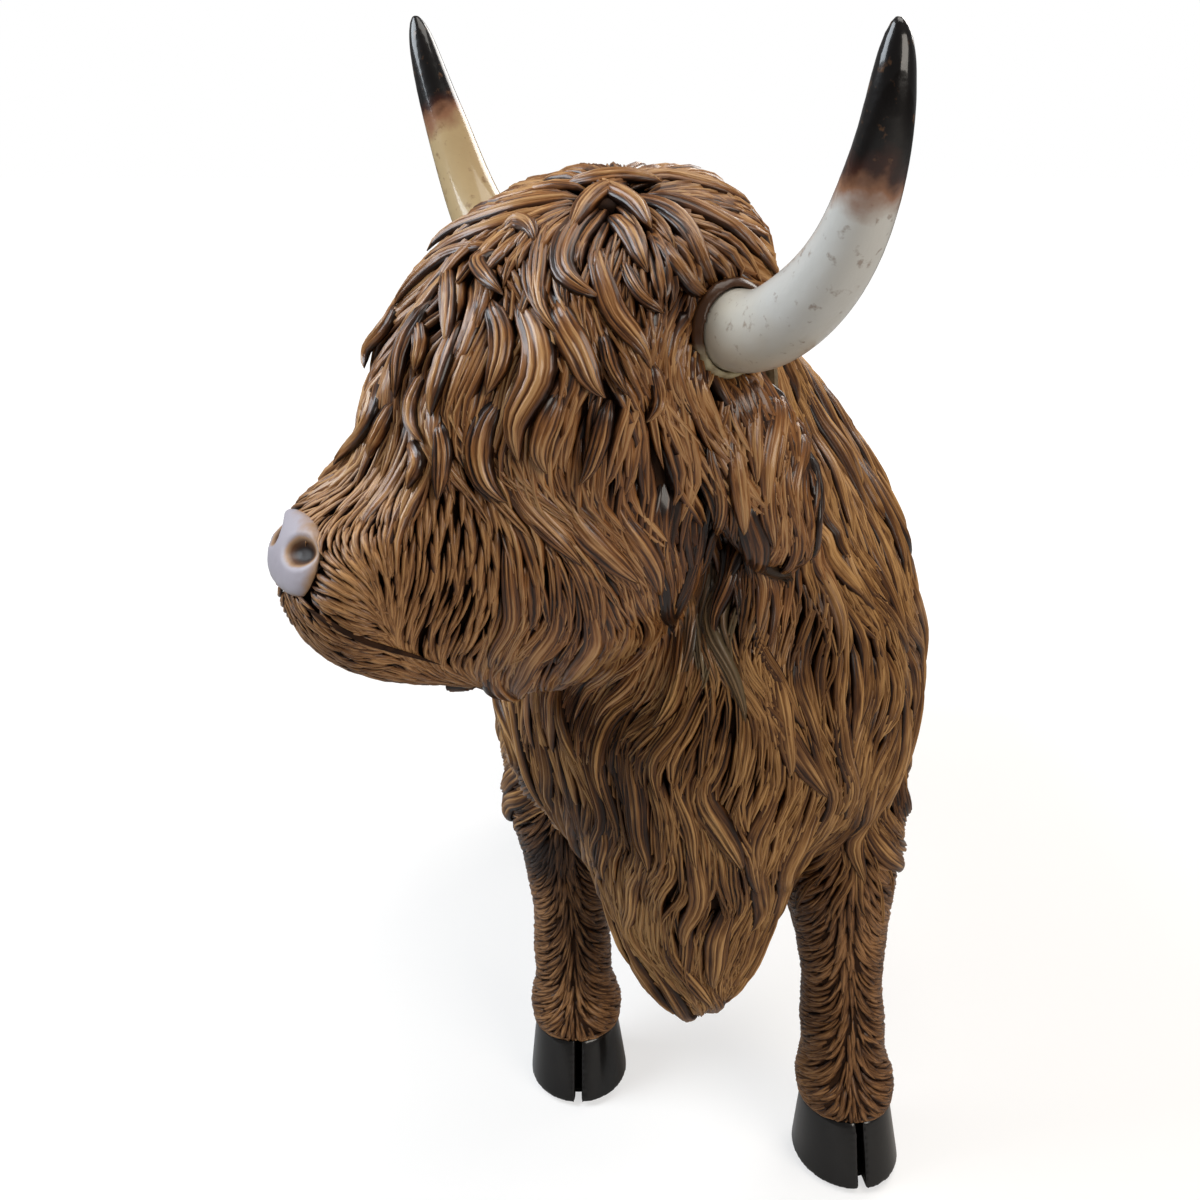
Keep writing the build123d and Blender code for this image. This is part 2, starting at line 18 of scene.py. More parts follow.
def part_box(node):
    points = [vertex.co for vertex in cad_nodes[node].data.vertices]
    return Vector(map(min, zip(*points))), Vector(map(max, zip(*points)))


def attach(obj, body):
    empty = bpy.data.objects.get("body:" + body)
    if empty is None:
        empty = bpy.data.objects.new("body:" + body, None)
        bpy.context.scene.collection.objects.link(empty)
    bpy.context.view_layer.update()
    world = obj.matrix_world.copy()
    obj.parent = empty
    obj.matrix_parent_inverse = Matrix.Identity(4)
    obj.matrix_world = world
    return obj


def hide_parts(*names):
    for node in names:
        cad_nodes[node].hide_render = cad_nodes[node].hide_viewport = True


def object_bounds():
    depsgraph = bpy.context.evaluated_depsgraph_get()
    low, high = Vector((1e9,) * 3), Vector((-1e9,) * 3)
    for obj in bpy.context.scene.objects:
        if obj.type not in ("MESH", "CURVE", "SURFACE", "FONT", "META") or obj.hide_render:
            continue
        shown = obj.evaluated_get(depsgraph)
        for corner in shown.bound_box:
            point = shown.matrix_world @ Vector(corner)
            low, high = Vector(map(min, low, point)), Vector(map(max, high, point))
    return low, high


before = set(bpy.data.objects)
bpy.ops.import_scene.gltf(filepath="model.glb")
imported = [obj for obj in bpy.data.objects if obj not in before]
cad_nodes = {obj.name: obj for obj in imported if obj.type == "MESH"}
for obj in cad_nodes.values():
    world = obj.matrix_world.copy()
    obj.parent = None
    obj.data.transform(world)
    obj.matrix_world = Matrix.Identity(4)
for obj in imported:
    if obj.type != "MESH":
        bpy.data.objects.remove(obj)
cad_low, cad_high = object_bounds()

MM = 0.001
chance = np.random.default_rng(11)
print("nodes:", len(cad_nodes), "box mm:", [round(c / MM) for c in cad_high - cad_low])


def linked(name, data):
    """A new object of the scene with its data."""
    made = bpy.data.objects.new(name, data)
    bpy.context.scene.collection.objects.link(made)
    return made


def mesh_object(name, bm):
    """A new object of the scene from a bmesh."""
    mesh = bpy.data.meshes.new(name)
    bm.to_mesh(mesh)
    bm.free()
    return linked(name, mesh)


def keep_values(mesh, label, values):
    """Keeps a value with each point of a mesh, where its paint can read it."""
    kept = mesh.attributes.new(label, "FLOAT", "POINT")
    kept.data.foreach_set("value", values.astype(np.float32))


# %% [markdown]
# The head is turned and tilted against the body, so it gets a frame of its own: ahead towards the
# nose, to its left, and up. The tail lies on the middle plane of the body and gives its place.

# %% Frames of the body and the head
tail_low, tail_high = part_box("tail")
spine_aside = (tail_low.x + tail_high.x) / 2
head_turn = math.radians(55)
head_roll = math.radians(3.5)
head_place = Vector((spine_aside - 27.4 * MM, -114.4 * MM, 261.2 * MM))
head_ahead = Vector((-math.sin(head_turn), -math.cos(head_turn), 0))
level_left = Vector((math.cos(head_turn), -math.sin(head_turn), 0))
head_up = Vector((0, 0, math.cos(head_roll))) + level_left * math.sin(head_roll)
head_left = level_left * math.cos(head_roll) - Vector((0, 0, math.sin(head_roll)))
head_axes = np.array([head_ahead, head_left, head_up])
muzzle_aside = -5  # millimetres to the left in the head's frame


def head_point(ahead, left, up):
    """A point of the head's frame, in millimetres, as a place in the scene."""
    return head_place + (head_ahead * ahead + head_left * left + head_up * up) * MM


def in_head(places):
    """Places in the scene as points of the head's frame, in millimetres."""
    return (np.asarray(places) - np.array(head_place)) @ head_axes.T / MM


# %% [markdown]
# The photograph was taken from in front, above and close by. A camera with the same place, tilt and
# field of view shows the model from there, and it also turns a pixel of the picture into a ray, so
# that a strand can be laid where the picture shows one.

# %% Camera
picture_size = 1200
picture_focal = 1300
sensor_width = 36
camera_pitch = math.radians(20)
camera_place = Vector((spine_aside - 32 * MM, -435 * MM, 300 * MM))

camera_data = bpy.data.cameras.new("camera")
camera_data.sensor_width = sensor_width
camera_data.lens = sensor_width * picture_focal / picture_size
camera_data.clip_start = 10 * MM
camera = linked("camera", camera_data)
camera.location = camera_place
camera.rotation_euler = (math.pi / 2 - camera_pitch, 0, 0)
bpy.context.scene.camera = camera
bpy.context.scene.view_settings.view_transform = "Standard"

camera_ahead = Vector((0, math.cos(camera_pitch), -math.sin(camera_pitch)))
camera_up = Vector((0, math.sin(camera_pitch), math.cos(camera_pitch)))


def picture_ray(x, y):
    """Direction from the camera through a pixel of the picture."""
    right = (x - picture_size / 2) / picture_focal
    down = (y - picture_size / 2) / picture_focal
    return (camera_ahead + Vector((right, 0, 0)) - camera_up * down).normalized()


# %% [markdown]
# Every material here is procedural. These short functions set up its shader nodes.

# %% Node tools
def paint_value(red, green, blue):
    """A colour given in the 0 to 255 steps of a picture, as the shader wants it."""
    steps = []
    for part in (red, green, blue):
        share = part / 255
        steps.append(share / 12.92 if share <= 0.04045 else ((share + 0.055) / 1.055) ** 2.4)
    return (*steps, 1)


def new_paint(name, roughness, gloss=0.0, gloss_roughness=0.1):
    """A material with its shader set up, its node tree and its shader node."""
    material = bpy.data.materials.new(name)
    material.use_nodes = True
    tree = material.node_tree
    shader = tree.nodes["Principled BSDF"]
    shader.inputs["Roughness"].default_value = roughness
    shader.inputs["Coat Weight"].default_value = gloss
    shader.inputs["Coat Roughness"].default_value = gloss_roughness
    shader.inputs["Specular IOR Level"].default_value = 0.2
    return material, tree, shader


def add_node(tree, kind, **settings):
    """A new shader node with its settings and, by name, its input values or links."""
    made = tree.nodes.new("ShaderNode" + kind)
    inputs = settings.pop("inputs", {})
    for key, value in settings.items():
        setattr(made, key, value)
    for key, value in inputs.items():
        if isinstance(value, bpy.types.NodeSocket):
            tree.links.new(value, made.inputs[key])
        else:
            made.inputs[key].default_value = value
    return made


def ramp_of(tree, factor, stops):
    """A colour ramp driven by a factor, from its stops."""
    made = add_node(tree, "ValToRGB", inputs={"Fac": factor})
    ramp = made.color_ramp
    while len(ramp.elements) < len(stops):
        ramp.elements.new(0.5)
    for element, (place, color) in zip(ramp.elements, stops):
        element.position = place
        element.color = color
    return made.outputs["Color"]


def math_node(tree, operation, first, second=0.0, clamp=False):
    """The result of a small sum."""
    made = add_node(tree, "Math", operation=operation, use_clamp=clamp,
                    inputs={0: first, 1: second})
    return made.outputs[0]


def around(tree, value, middle, gain):
    """How far a value lies from a middle one, times a gain."""
    return math_node(tree, "MULTIPLY", math_node(tree, "SUBTRACT", value, middle), gain)


def map_range(tree, value, low, high, to_low=0.0, to_high=1.0):
    """A value carried from one range to another, and held at its ends."""
    return add_node(tree, "MapRange", inputs={
        "Value": value, "From Min": low, "From Max": high, "To Min": to_low, "To Max": to_high}).outputs[0]


def stored(tree, name):
    """A value that the points of the mesh carry."""
    return add_node(tree, "Attribute", attribute_name=name).outputs["Fac"]


def object_place(tree):
    """Where a point lies on its object."""
    return add_node(tree, "TexCoord").outputs["Object"]


def noise(tree, place, scale, detail, roughness=0.5):
    """Cloudy noise at a place."""
    return add_node(tree, "TexNoise", inputs={
        "Vector": place, "Scale": scale, "Detail": detail, "Roughness": roughness}).outputs["Fac"]


def mixed(tree, factor, first, second):
    """The first colour, turned into the second by a factor."""
    return add_node(tree, "Mix", data_type="RGBA", inputs={
        "Factor": factor, 6: first, 7: second}).outputs[2]


def bumped(tree, shader, height, strength, depth):
    """Presses a height into the surface of a paint."""
    bump = add_node(tree, "Bump", inputs={
        "Height": height, "Strength": strength, "Distance": depth})
    tree.links.new(bump.outputs[0], shader.inputs["Normal"])


# %% [markdown]
# A large soft box on the left stands for the window that puts the cool highlights on the forelock. A
# warmer one in front on the right opens the shadows, one above lights the crown and one behind draws
# the rim. The floor is pale and plain.

# %% Lights and floor
def soft_box(name, place, aim, size, power, tint):
    """An area light that looks from a place at a point."""
    data = bpy.data.lights.new(name, "AREA")
    data.shape = "RECTANGLE"
    data.size, data.size_y = size
    data.energy = power
    data.color = tint
    light = linked(name, data)
    light.location = place
    light.rotation_euler = (Vector(aim) - Vector(place)).to_track_quat("-Z", "Y").to_euler()
    return light


aim_point = (spine_aside, -100 * MM, 180 * MM)
soft_box("window", (-0.62, -0.12, 0.72), aim_point, (0.5, 0.6), 8.0, (0.86, 0.93, 1.0))
soft_box("fill", (0.62, -0.85, 0.55), aim_point, (0.6, 0.5), 5.2, (1.0, 0.93, 0.84))
soft_box("above", (0.25, -0.1, 1.25), aim_point, (0.7, 0.7), 5.0, (1.0, 0.96, 0.9))
back_box = soft_box("back", (0.5, 0.6, 0.7), aim_point, (0.6, 0.4), 5.0, (1.0, 0.97, 0.93))
back_box.data.specular_factor = 0.25


def plain_emitter(tree, seen, strength):
    """How bright a background looks to the camera, also through glass, and how much it lights."""
    paths = add_node(tree, "LightPath").outputs
    seen_by = math_node(tree, "MAXIMUM", paths["Is Camera Ray"], paths["Is Transmission Ray"])
    mix = add_node(tree, "Mix", inputs={"Factor": seen_by, "A": strength, "B": seen})
    return mix.outputs["Result"]


world_light = 0.17
world = bpy.data.worlds.new("studio")
world.use_nodes = True
bpy.context.scene.world = world
sky = world.node_tree.nodes["Background"]
sky.inputs["Color"].default_value = (1, 1, 1, 1)
world.node_tree.links.new(plain_emitter(world.node_tree, 1, world_light), sky.inputs["Strength"])

floor_size = 16.0
floor_bm = bmesh.new()
bmesh.ops.create_grid(floor_bm, x_segments=1, y_segments=1, size=floor_size / 2)
floor = mesh_object("floor", floor_bm)
floor_paint, floor_tree, floor_shader = new_paint("floor_paint", 0.7)
for key, value in (("Base Color", (0.42, 0.41, 0.4, 1)), ("Specular IOR Level", 0),
                   ("Emission Color", (1, 1, 1, 1))):
    floor_shader.inputs[key].default_value = value
floor_reach = add_node(floor_tree, "VectorMath", operation="LENGTH",
                       inputs={0: object_place(floor_tree)}).outputs["Value"]
floor_glow = map_range(floor_tree, floor_reach, 0.3, 1.2, 0.6, 1.0)
floor_seen = math_node(floor_tree, "MULTIPLY", plain_emitter(floor_tree, 1, 0), floor_glow)
floor_tree.links.new(floor_seen, floor_shader.inputs["Emission Strength"])
floor.data.materials.append(floor_paint)
print("camera at mm:", [round(c / MM) for c in camera_place])

# %% [markdown]
# Hair has to lie on something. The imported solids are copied, merged and remeshed into one closed
# skin, and only its outside shell is kept as a guide: strands are traced along it. Each of its faces
# remembers which solid it came from, so that the head, ears, body and legs get their own coats.

# %% The guide skin
coated = ["body_casting", "head_casting", "ear_left", "ear_right", "tail"]
leg_names = ["front_left", "front_right", "hind_left", "hind_right"]
coated += [f"leg_{leg}" for leg in leg_names]
fillers = ["belly_plug", "neck_seam_putty", "tail_pin", "neck_pin_upper", "neck_pin_lower"]
fillers += [f"leg_rod_{leg}" for leg in leg_names]


def merged_copy(names):
    """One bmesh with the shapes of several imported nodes, their doubles merged."""
    bm = bmesh.new()
    for name in names:
        bm.from_mesh(cad_nodes[name].data)
    bmesh.ops.remove_doubles(bm, verts=bm.verts, dist=0.001 * MM)
    return bm


def applied(piece):
    """The piece with its modifiers applied to its mesh."""
    graph = bpy.context.evaluated_depsgraph_get()
    graph.update()
    mesh = bpy.data.meshes.new_from_object(piece.evaluated_get(graph), depsgraph=graph)
    mesh.name = piece.name
    piece.modifiers.clear()
    piece.data = mesh
    return piece


def cast_skin(name, bm, voxel, rounds, sink=0.0):
    """A remeshed and smoothed skin over closed shapes, drawn in by the sink."""
    piece = mesh_object(name, bm)
    remesh = piece.modifiers.new("remesh", "REMESH")
    remesh.mode = "VOXEL"
    remesh.voxel_size = voxel
    smooth = piece.modifiers.new("smooth", "SMOOTH")
    smooth.factor = 0.5
    smooth.iterations = rounds
    if sink:
        draw_in = piece.modifiers.new("sink", "DISPLACE")
        draw_in.mid_level = 0
        draw_in.strength = -sink
    return applied(piece)


def outer_shell(bm):
    """Deletes all but the largest loose shell of a bmesh."""
    unseen = set(bm.faces)
    largest = []
    while unseen:
        shell = []
        front = [unseen.pop()]
        while front:
            face = front.pop()
            shell.append(face)
            for edge in face.edges:
                for other in edge.link_faces:
                    if other in unseen:
                        unseen.discard(other)
                        front.append(other)
        if len(shell) > len(largest):
            largest = shell
    kept = set(largest)
    bmesh.ops.delete(bm, geom=[f for f in bm.faces if f not in kept], context="FACES")


guide = cast_skin("guide", merged_copy(coated + fillers), 2 * MM, 6)
guide_bm = bmesh.new()
guide_bm.from_mesh(guide.data)
bpy.data.objects.remove(guide)
outer_shell(guide_bm)
bmesh.ops.triangulate(guide_bm, faces=guide_bm.faces)
guide_bm.normal_update()
skin_tree = BVHTree.FromBMesh(guide_bm)
face_places = np.array([f.calc_center_median() for f in guide_bm.faces])
face_normals = np.array([f.normal for f in guide_bm.faces])
face_areas = np.array([f.calc_area() for f in guide_bm.faces])
vert_places = np.array([v.co for v in guide_bm.verts])
face_verts = np.array([[v.index for v in f.verts] for f in guide_bm.faces])
guide_bm.free()

node_trees = []
for name in coated:
    node_bm = merged_copy([name])
    node_trees.append(BVHTree.FromBMesh(node_bm))
    node_bm.free()
face_nodes = []
for place in face_places:
    reach = [tree.find_nearest(place)[3] for tree in node_trees]
    face_nodes.append(reach.index(min(reach)))
face_nodes = np.array(face_nodes)
print("guide faces:", len(face_places), "area cm2:", round(face_areas.sum() * 1e4))

# %% [markdown]
# The direction of the hair is combed by strokes. Each one is read from the photograph, from root to
# tip along a carved strand, and is thrown onto the skin along its rays. The far side of the head and
# of the chest is out of sight, so the strokes are mirrored there.

# %% Strokes read from the photograph
def strokes_of(rows):
    """Strokes from pixels, across and down in turn, with a comma between strokes."""
    return [np.array(row.split(), float).reshape(-1, 2) for row in rows.split(",")]


face_strokes = strokes_of("""
352 462 335 485 322 505, 375 470 360 500 345 520, 345 505 340 530 348 560 358 585,
372 500 368 535 374 565 378 590, 400 490 402 530 398 570 385 600, 425 490 430 530 428 575 400 612,
455 500 458 545 455 590 430 625 400 640, 478 510 486 560 490 600 472 645 445 660,
500 505 515 550 528 600 520 640 490 668, 322 560 345 562 362 572, 312 585 340 592 368 600,
305 605 335 612 372 622, 315 625 345 638 385 645, 318 640 345 655 385 662, 335 660 375 672 420 676,
390 665 430 675 470 680, 515 500 545 550 556 600 545 640 520 670,
540 500 575 555 590 600 585 645 560 685, 570 500 605 550 622 600 620 650 598 695,
600 500 630 560 645 610 648 660 630 700, 620 520 640 570 652 620 660 660, 500 560 530 600 545 620,
640 400 650 450 660 500, 600 400 606 450 612 500, 670 430 690 480 700 540, 700 480 715 510 722 550,
720 500 735 530 742 550, 560 420 550 450 560 490, 480 420 470 450 480 490, 400 420 390 450 380 480,
620 185 660 180 700 190 745 210, 640 195 690 210 730 235 760 265, 650 205 680 230 700 265 710 300,
680 200 720 225 750 250 775 280, 700 330 680 345 670 370, 600 185 560 175 530 182,
590 200 540 200 490 220 440 250, 560 210 510 225 460 250 430 265
""")
ear_strokes = strokes_of("""
745 385 735 420 722 455 735 480, 700 370 692 410 700 450 715 480, 770 375 778 410 772 450 762 490,
785 370 805 410 810 450 800 490, 790 470 785 510 778 540, 755 490 750 520 752 550,
800 480 805 520 800 560
""")
body_strokes = strokes_of("""
815 385 840 420 858 460 872 500, 850 400 875 440 890 480, 830 450 850 490 870 530 885 570,
870 500 890 540 905 580 920 605, 820 500 835 540 850 580 860 620, 860 560 885 600 900 640 905 680,
900 590 918 630 920 680 910 730, 815 560 820 600 832 640 838 680,
845 600 862 640 866 690 850 740 835 790, 880 620 890 660 888 710 870 760,
800 600 790 640 780 680 762 720, 735 590 760 600 757 640 735 670 690 695, 720 560 750 580 762 620,
690 600 700 640 695 680, 740 640 720 670 680 695 640 712 600 735, 800 640 785 690 765 735 740 780,
820 680 812 730 795 780 765 830 735 870, 840 700 825 750 800 800 780 850 750 900,
705 710 680 740 640 775 622 805, 680 700 650 725 620 750 605 790, 735 715 720 760 690 800 655 840,
745 740 752 780 730 820 690 855 645 885, 770 760 765 800 735 845 700 875 680 900,
785 780 790 820 765 865 745 905 735 940, 600 770 605 820 610 860 625 890,
560 740 580 780 592 830 600 870, 640 800 625 840 630 880, 610 900 625 940 650 980 680 1005,
720 900 715 940 700 975 685 1005, 660 890 655 930 668 970 682 1003, 760 890 745 930 725 965 700 990,
640 905 640 950 660 985, 535 730 515 740 498 750, 530 760 512 768 502 776, 550 830 530 840 522 850,
510 720 530 760 550 800 575 830, 860 800 868 830 885 850, 850 850 870 870 890 885,
845 860 825 880 810 890
""")


ray_stops = range(200, 620, 6)  # millimetres from the camera


def on_skin(x, y):
    """The place and normal of the skin at a pixel, or beside the ray where it passes the skin."""
    ray = picture_ray(x, y)
    place, normal, _, _ = skin_tree.ray_cast(camera_place, ray)
    if place is None:
        reaches = [skin_tree.find_nearest(camera_place + ray * d * MM) for d in ray_stops]
        place, normal, _, _ = min(reaches, key=lambda reach: reach[3])
    return place, normal


longest_step = 60 * MM


def guides_of(strokes):
    """Places, normals and directions of the pieces of the strokes."""
    rows = []
    for stroke in strokes:
        spots = [on_skin(x, y) for x, y in stroke]
        for (start, _), (end, _) in zip(spots, spots[1:]):
            middle, normal, _, _ = skin_tree.find_nearest((start + end) / 2)
            if (end - start).length < longest_step:
                rows.append((middle, normal, (end - start).normalized()))
    return np.array(rows)


def mirrored(rows, place, across):
    """Guides mirrored in the plane through a place, square to a direction."""
    place, across = np.array(place), np.array(across)
    flipped = rows.copy()
    flipped[:, 0] -= 2 * ((rows[:, 0] - place) @ across)[:, None] * across
    for part in (1, 2):
        flipped[:, part] -= 2 * (rows[:, part] @ across)[:, None] * across
    return flipped


spine_plane = ((spine_aside, 0, 0), (1, 0, 0))
head_guides = guides_of(face_strokes)
ear_guides = guides_of(ear_strokes)
body_guides = guides_of(body_strokes)
head_guides = np.concatenate([head_guides, mirrored(head_guides, head_place, head_left)])
body_guides = np.concatenate([body_guides, mirrored(body_guides, *spine_plane)])
print("guides:", len(head_guides), len(ear_guides), len(body_guides))

# %% [markdown]
# Away from the strokes the hair follows plain rules: it radiates from the whorl on the crown, runs
# down and back over the barrel, down the ears and tail, and parts on the front line of each leg.
# The comb mixes the rule with the strokes nearby, and lays the result flat on the skin.

# %% The comb
whorl_pixel = (605, 197)
whorl, _ = on_skin(*whorl_pixel)
stroke_reach = 9 * MM
rule_share = 0.06
hoof_top = 20.5 * MM
hair_lip = 21.5 * MM
foot_places = {}
for leg in leg_names:
    pad_low, pad_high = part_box(f"felt_pad_{leg}")
    foot_places[leg] = (pad_low + pad_high) / 2


def unit_rows(rows):
    """Each row at a length of one."""
    return rows / np.maximum(np.linalg.norm(rows, axis=1, keepdims=True), 1e-9)


def flattened(rows, normals):
    """Each row laid into the plane square to its normal, at a length of one."""
    return unit_rows(rows - normals * (rows * normals).sum(1)[:, None])


def rule_flow(places, normals, kind):
    """Direction of the hair by rule, for one kind of coat."""
    if kind == "lip":
        aside = np.tanh((in_head(places)[:, 1:2] - muzzle_aside) / 4)
        return flattened(aside * np.array(head_left) - 0.5 * head_axes[0] - 0.5 * head_axes[2], normals)
    if kind in ("head", "crown"):
        away = unit_rows(places - np.array(whorl))
        drop = np.tile((0, 0, -0.6), (len(places), 1))
        return flattened(away + drop, normals)
    if kind == "leg":
        side = normals[:, 0:1] * np.array((1, 0, 0)) + normals[:, 1:2] * np.array((0, 1, 0))
        turned = np.clip(side[:, 0:1], -1, 1)
        sweep = np.array((0, 1, 0)) * (0.4 + 1.1 * np.abs(turned)) + turned * np.array((0.9, 0, 0))
        return flattened(sweep - np.array((0, 0, 1)) * (1.15 - 0.5 * np.abs(turned)), normals)
    if kind in ("tail", "ear"):
        return flattened(np.tile((0, 0.1, -1), (len(places), 1)), normals)
    parted = np.tanh((places[:, 0:1] - spine_aside) / (12 * MM))
    return flattened(parted * np.array((0.7, 0, 0)) + np.array((0, 0.42, -1)), normals)


def comb(places, normals, kind):
    """Direction of the hair at places on the skin."""
    rule = rule_flow(places, normals, kind)
    rows = {"head": head_guides, "ear": ear_guides, "body": body_guides}.get(kind)
    if rows is None:
        return rule
    spread = ((places[:, None] - rows[None, :, 0]) ** 2).sum(2)
    facing = np.clip(normals @ rows[:, 1].T, 0, 1) ** 2
    weight = facing / (spread + stroke_reach ** 2) ** 2 * stroke_reach ** 4
    return flattened(weight @ rows[:, 2] + rule * rule_share, normals)


# %% [markdown]
# One strand is modelled once: a ring drawn along in steps, with its ridges on top. Hundreds of
# copies are made by an Array modifier, and each copy is bent onto its own line over the skin. The
# unit strand lies along X from root to tip, Y runs across it and Z points away from the skin.

# %% The unit strands
single_profile = ((-1, 0), (-0.62, 0.7), (0, 1), (0.62, 0.7), (1, 0))
double_profile = ((-1, 0), (-0.78, 0.66), (-0.42, 0.9), (-0.06, 0.34), (0.34, 1), (0.76, 0.66), (1, 0))
forelock_profile = (
    (-1, 0), (-0.9, 0.42), (-0.7, 0.72), (-0.52, 0.44), (-0.34, 0.84), (-0.2, 0.94), (-0.04, 0.6),
    (0.14, 1), (0.34, 0.94), (0.46, 0.56), (0.64, 0.78), (0.86, 0.4), (1, 0),
)


def unit_strand(name, profile, steps):
    """A closed strand of unit length with the profile's ridges, its UV map and its crest values."""
    bm = bmesh.new()
    ring = bmesh.ops.create_circle(bm, cap_ends=True, segments=len(profile), radius=1)["verts"]
    for vert, (y, z) in zip(ring, profile):
        vert.co = (0, y, z)
    face = bm.faces[:][0]
    for _ in range(steps):
        grown = bmesh.ops.extrude_face_region(bm, geom=[face])["geom"]
        verts = [item for item in grown if isinstance(item, bmesh.types.BMVert)]
        bmesh.ops.translate(bm, verts=verts, vec=(1 / steps, 0, 0))
        if len(bm.faces) > len(profile) + 1:
            bmesh.ops.delete(bm, geom=[face], context="FACES_ONLY")
        face = next(item for item in grown if isinstance(item, bmesh.types.BMFace))
    bmesh.ops.recalc_face_normals(bm, faces=bm.faces)
    crest = bm.verts.layers.float.new("crest")
    lay = bm.loops.layers.uv.new("strand")
    for vert in bm.verts:
        vert[crest] = vert.co.z
    for item in bm.faces:
        item.smooth = len(item.verts) == 4
        for loop in item.loops:
            loop[lay].uv = (loop.vert.co.x, (loop.vert.co.y + 1) / 2)
    mesh = bpy.data.meshes.new(name)
    bm.to_mesh(mesh)
    bm.free()
    return mesh


strand_single = unit_strand("strand_single", single_profile, 6)
strand_double = unit_strand("strand_double", double_profile, 7)
strand_forelock = unit_strand("strand_forelock", forelock_profile, 14)
print("faces:", [len(m.polygons) for m in (strand_single, strand_double, strand_forelock)])

# %% [markdown]
# A strand starts thin under its neighbours, swells, and ends in a point that lies on the next ones.
# These shares along it say how wide it is and how high it rides.

# %% Bending strands onto lines
stations = np.linspace(0, 1, 15)
width_shares = np.interp(stations, (0, 0.12, 0.4, 0.72, 0.9, 1), (0.2, 0.75, 1, 0.8, 0.42, 0.05))
height_shares = np.interp(stations, (0, 0.12, 0.4, 0.75, 0.92, 1), (0.1, 0.7, 1, 0.95, 0.6, 0.1))
lift_shares = np.interp(stations, (0, 0.1, 0.35, 0.7, 1), (-0.25, 0, 0.22, 0.46, 0.6))


# Painted shade, darkened strands around the ear and behind the cheek, and the filler that shows in the
# neck seam: pixels, each with a reach in millimetres
painted_shade_pixels = (
    (712, 500, 9), (722, 540, 9), (700, 350, 7), (672, 470, 7), (655, 545, 6), (598, 700, 8), (640, 715, 8),
    (590, 770, 8), (560, 760, 10), (515, 800, 12), (540, 850, 12), (780, 900, 8), (905, 760, 8),
)
filler_pixels = ((700, 575, 5), (728, 566, 4))


def spots_of(pixels):
    """Places on the skin at pixels, each with its reach."""
    return [(np.array(on_skin(x, y)[0]), reach * MM) for x, y, reach in pixels]


painted_shade_spots = spots_of(painted_shade_pixels)
filler_spots = spots_of(filler_pixels)
wall_ease = 1 * MM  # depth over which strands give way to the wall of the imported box


def eased_inside(places):
    """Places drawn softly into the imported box, so that strands at a wall never share one plane."""
    for wall, way in ((np.array(cad_high), 1), (np.array(cad_low), -1)):
        places = wall - way * wall_ease * np.logaddexp(0, (wall - places) * way / wall_ease)
    return places


def bent_strands(name, unit, lines, normals, width, height, sink, twist):
    """Copies of the unit strand bent onto lines: rows of points, with a normal at each point."""
    count = len(lines)
    piece = linked(name, unit.copy())
    if count > 1:
        array = piece.modifiers.new("copies", "ARRAY")
        array.count = count
        array.use_relative_offset = False
        piece = applied(piece)
    mesh = piece.data
    flat = np.empty(len(mesh.vertices) * 3, np.float32)
    mesh.vertices.foreach_get("co", flat)
    local = flat.reshape(count, -1, 3)[0]
    along = local[:, 0]
    tangents = unit_rows(np.gradient(lines, axis=1).reshape(-1, 3)).reshape(lines.shape)
    across = np.cross(normals, tangents)
    across = unit_rows(across.reshape(-1, 3)).reshape(lines.shape)
    outward = np.cross(tangents, across)
    turned = across * np.cos(twist)[:, None, None] + outward * np.sin(twist)[:, None, None]
    risen = outward * np.cos(twist)[:, None, None] - across * np.sin(twist)[:, None, None]
    at = along * (lines.shape[1] - 1)
    low = np.minimum(at.astype(int), lines.shape[1] - 2)
    part = (at - low)[None, :, None]

    def along_line(rows):
        return rows[:, low] * (1 - part) + rows[:, low + 1] * part

    wide = np.interp(along, stations, width_shares)[None, :] * local[:, 1] * width[:, None] / 2
    high = np.interp(along, stations, height_shares)[None, :] * local[:, 2] * height[:, None]
    lift = np.interp(along, stations, lift_shares)[None, :] * height[:, None] - sink[:, None]
    placed = (
        along_line(lines)
        + along_line(turned) * wide[:, :, None]
        + along_line(risen) * high[:, :, None]
        + along_line(outward) * lift[:, :, None]
    )
    mesh.vertices.foreach_set("co", eased_inside(placed).astype(np.float32).ravel())
    keep_values(mesh, "tone", np.repeat(chance.random(count), len(local)))
    # How near each strand's root lies to the spots of painted shade and to the filler
    for label, spots in (("painted_shade", painted_shade_spots), ("filler", filler_spots)):
        near = [np.exp(-((lines[:, 0] - spot) ** 2).sum(1) / reach ** 2) for spot, reach in spots]
        keep_values(mesh, label, np.repeat(np.max(near, axis=0), len(local)))
    mesh.update()
    return piece


def wave_at(places, phase):
    """Swing of the waves of the coat: neighbours swing together, each a little its own way."""
    x, y, z = (places / MM).T
    slow = np.sin(x / 10 + y / 15 + z / 8 + phase)
    quick = np.sin(x / 5.3 - y / 6.1 + z / 3.6 + phase * 2)
    return 0.65 * slow + 0.35 * quick


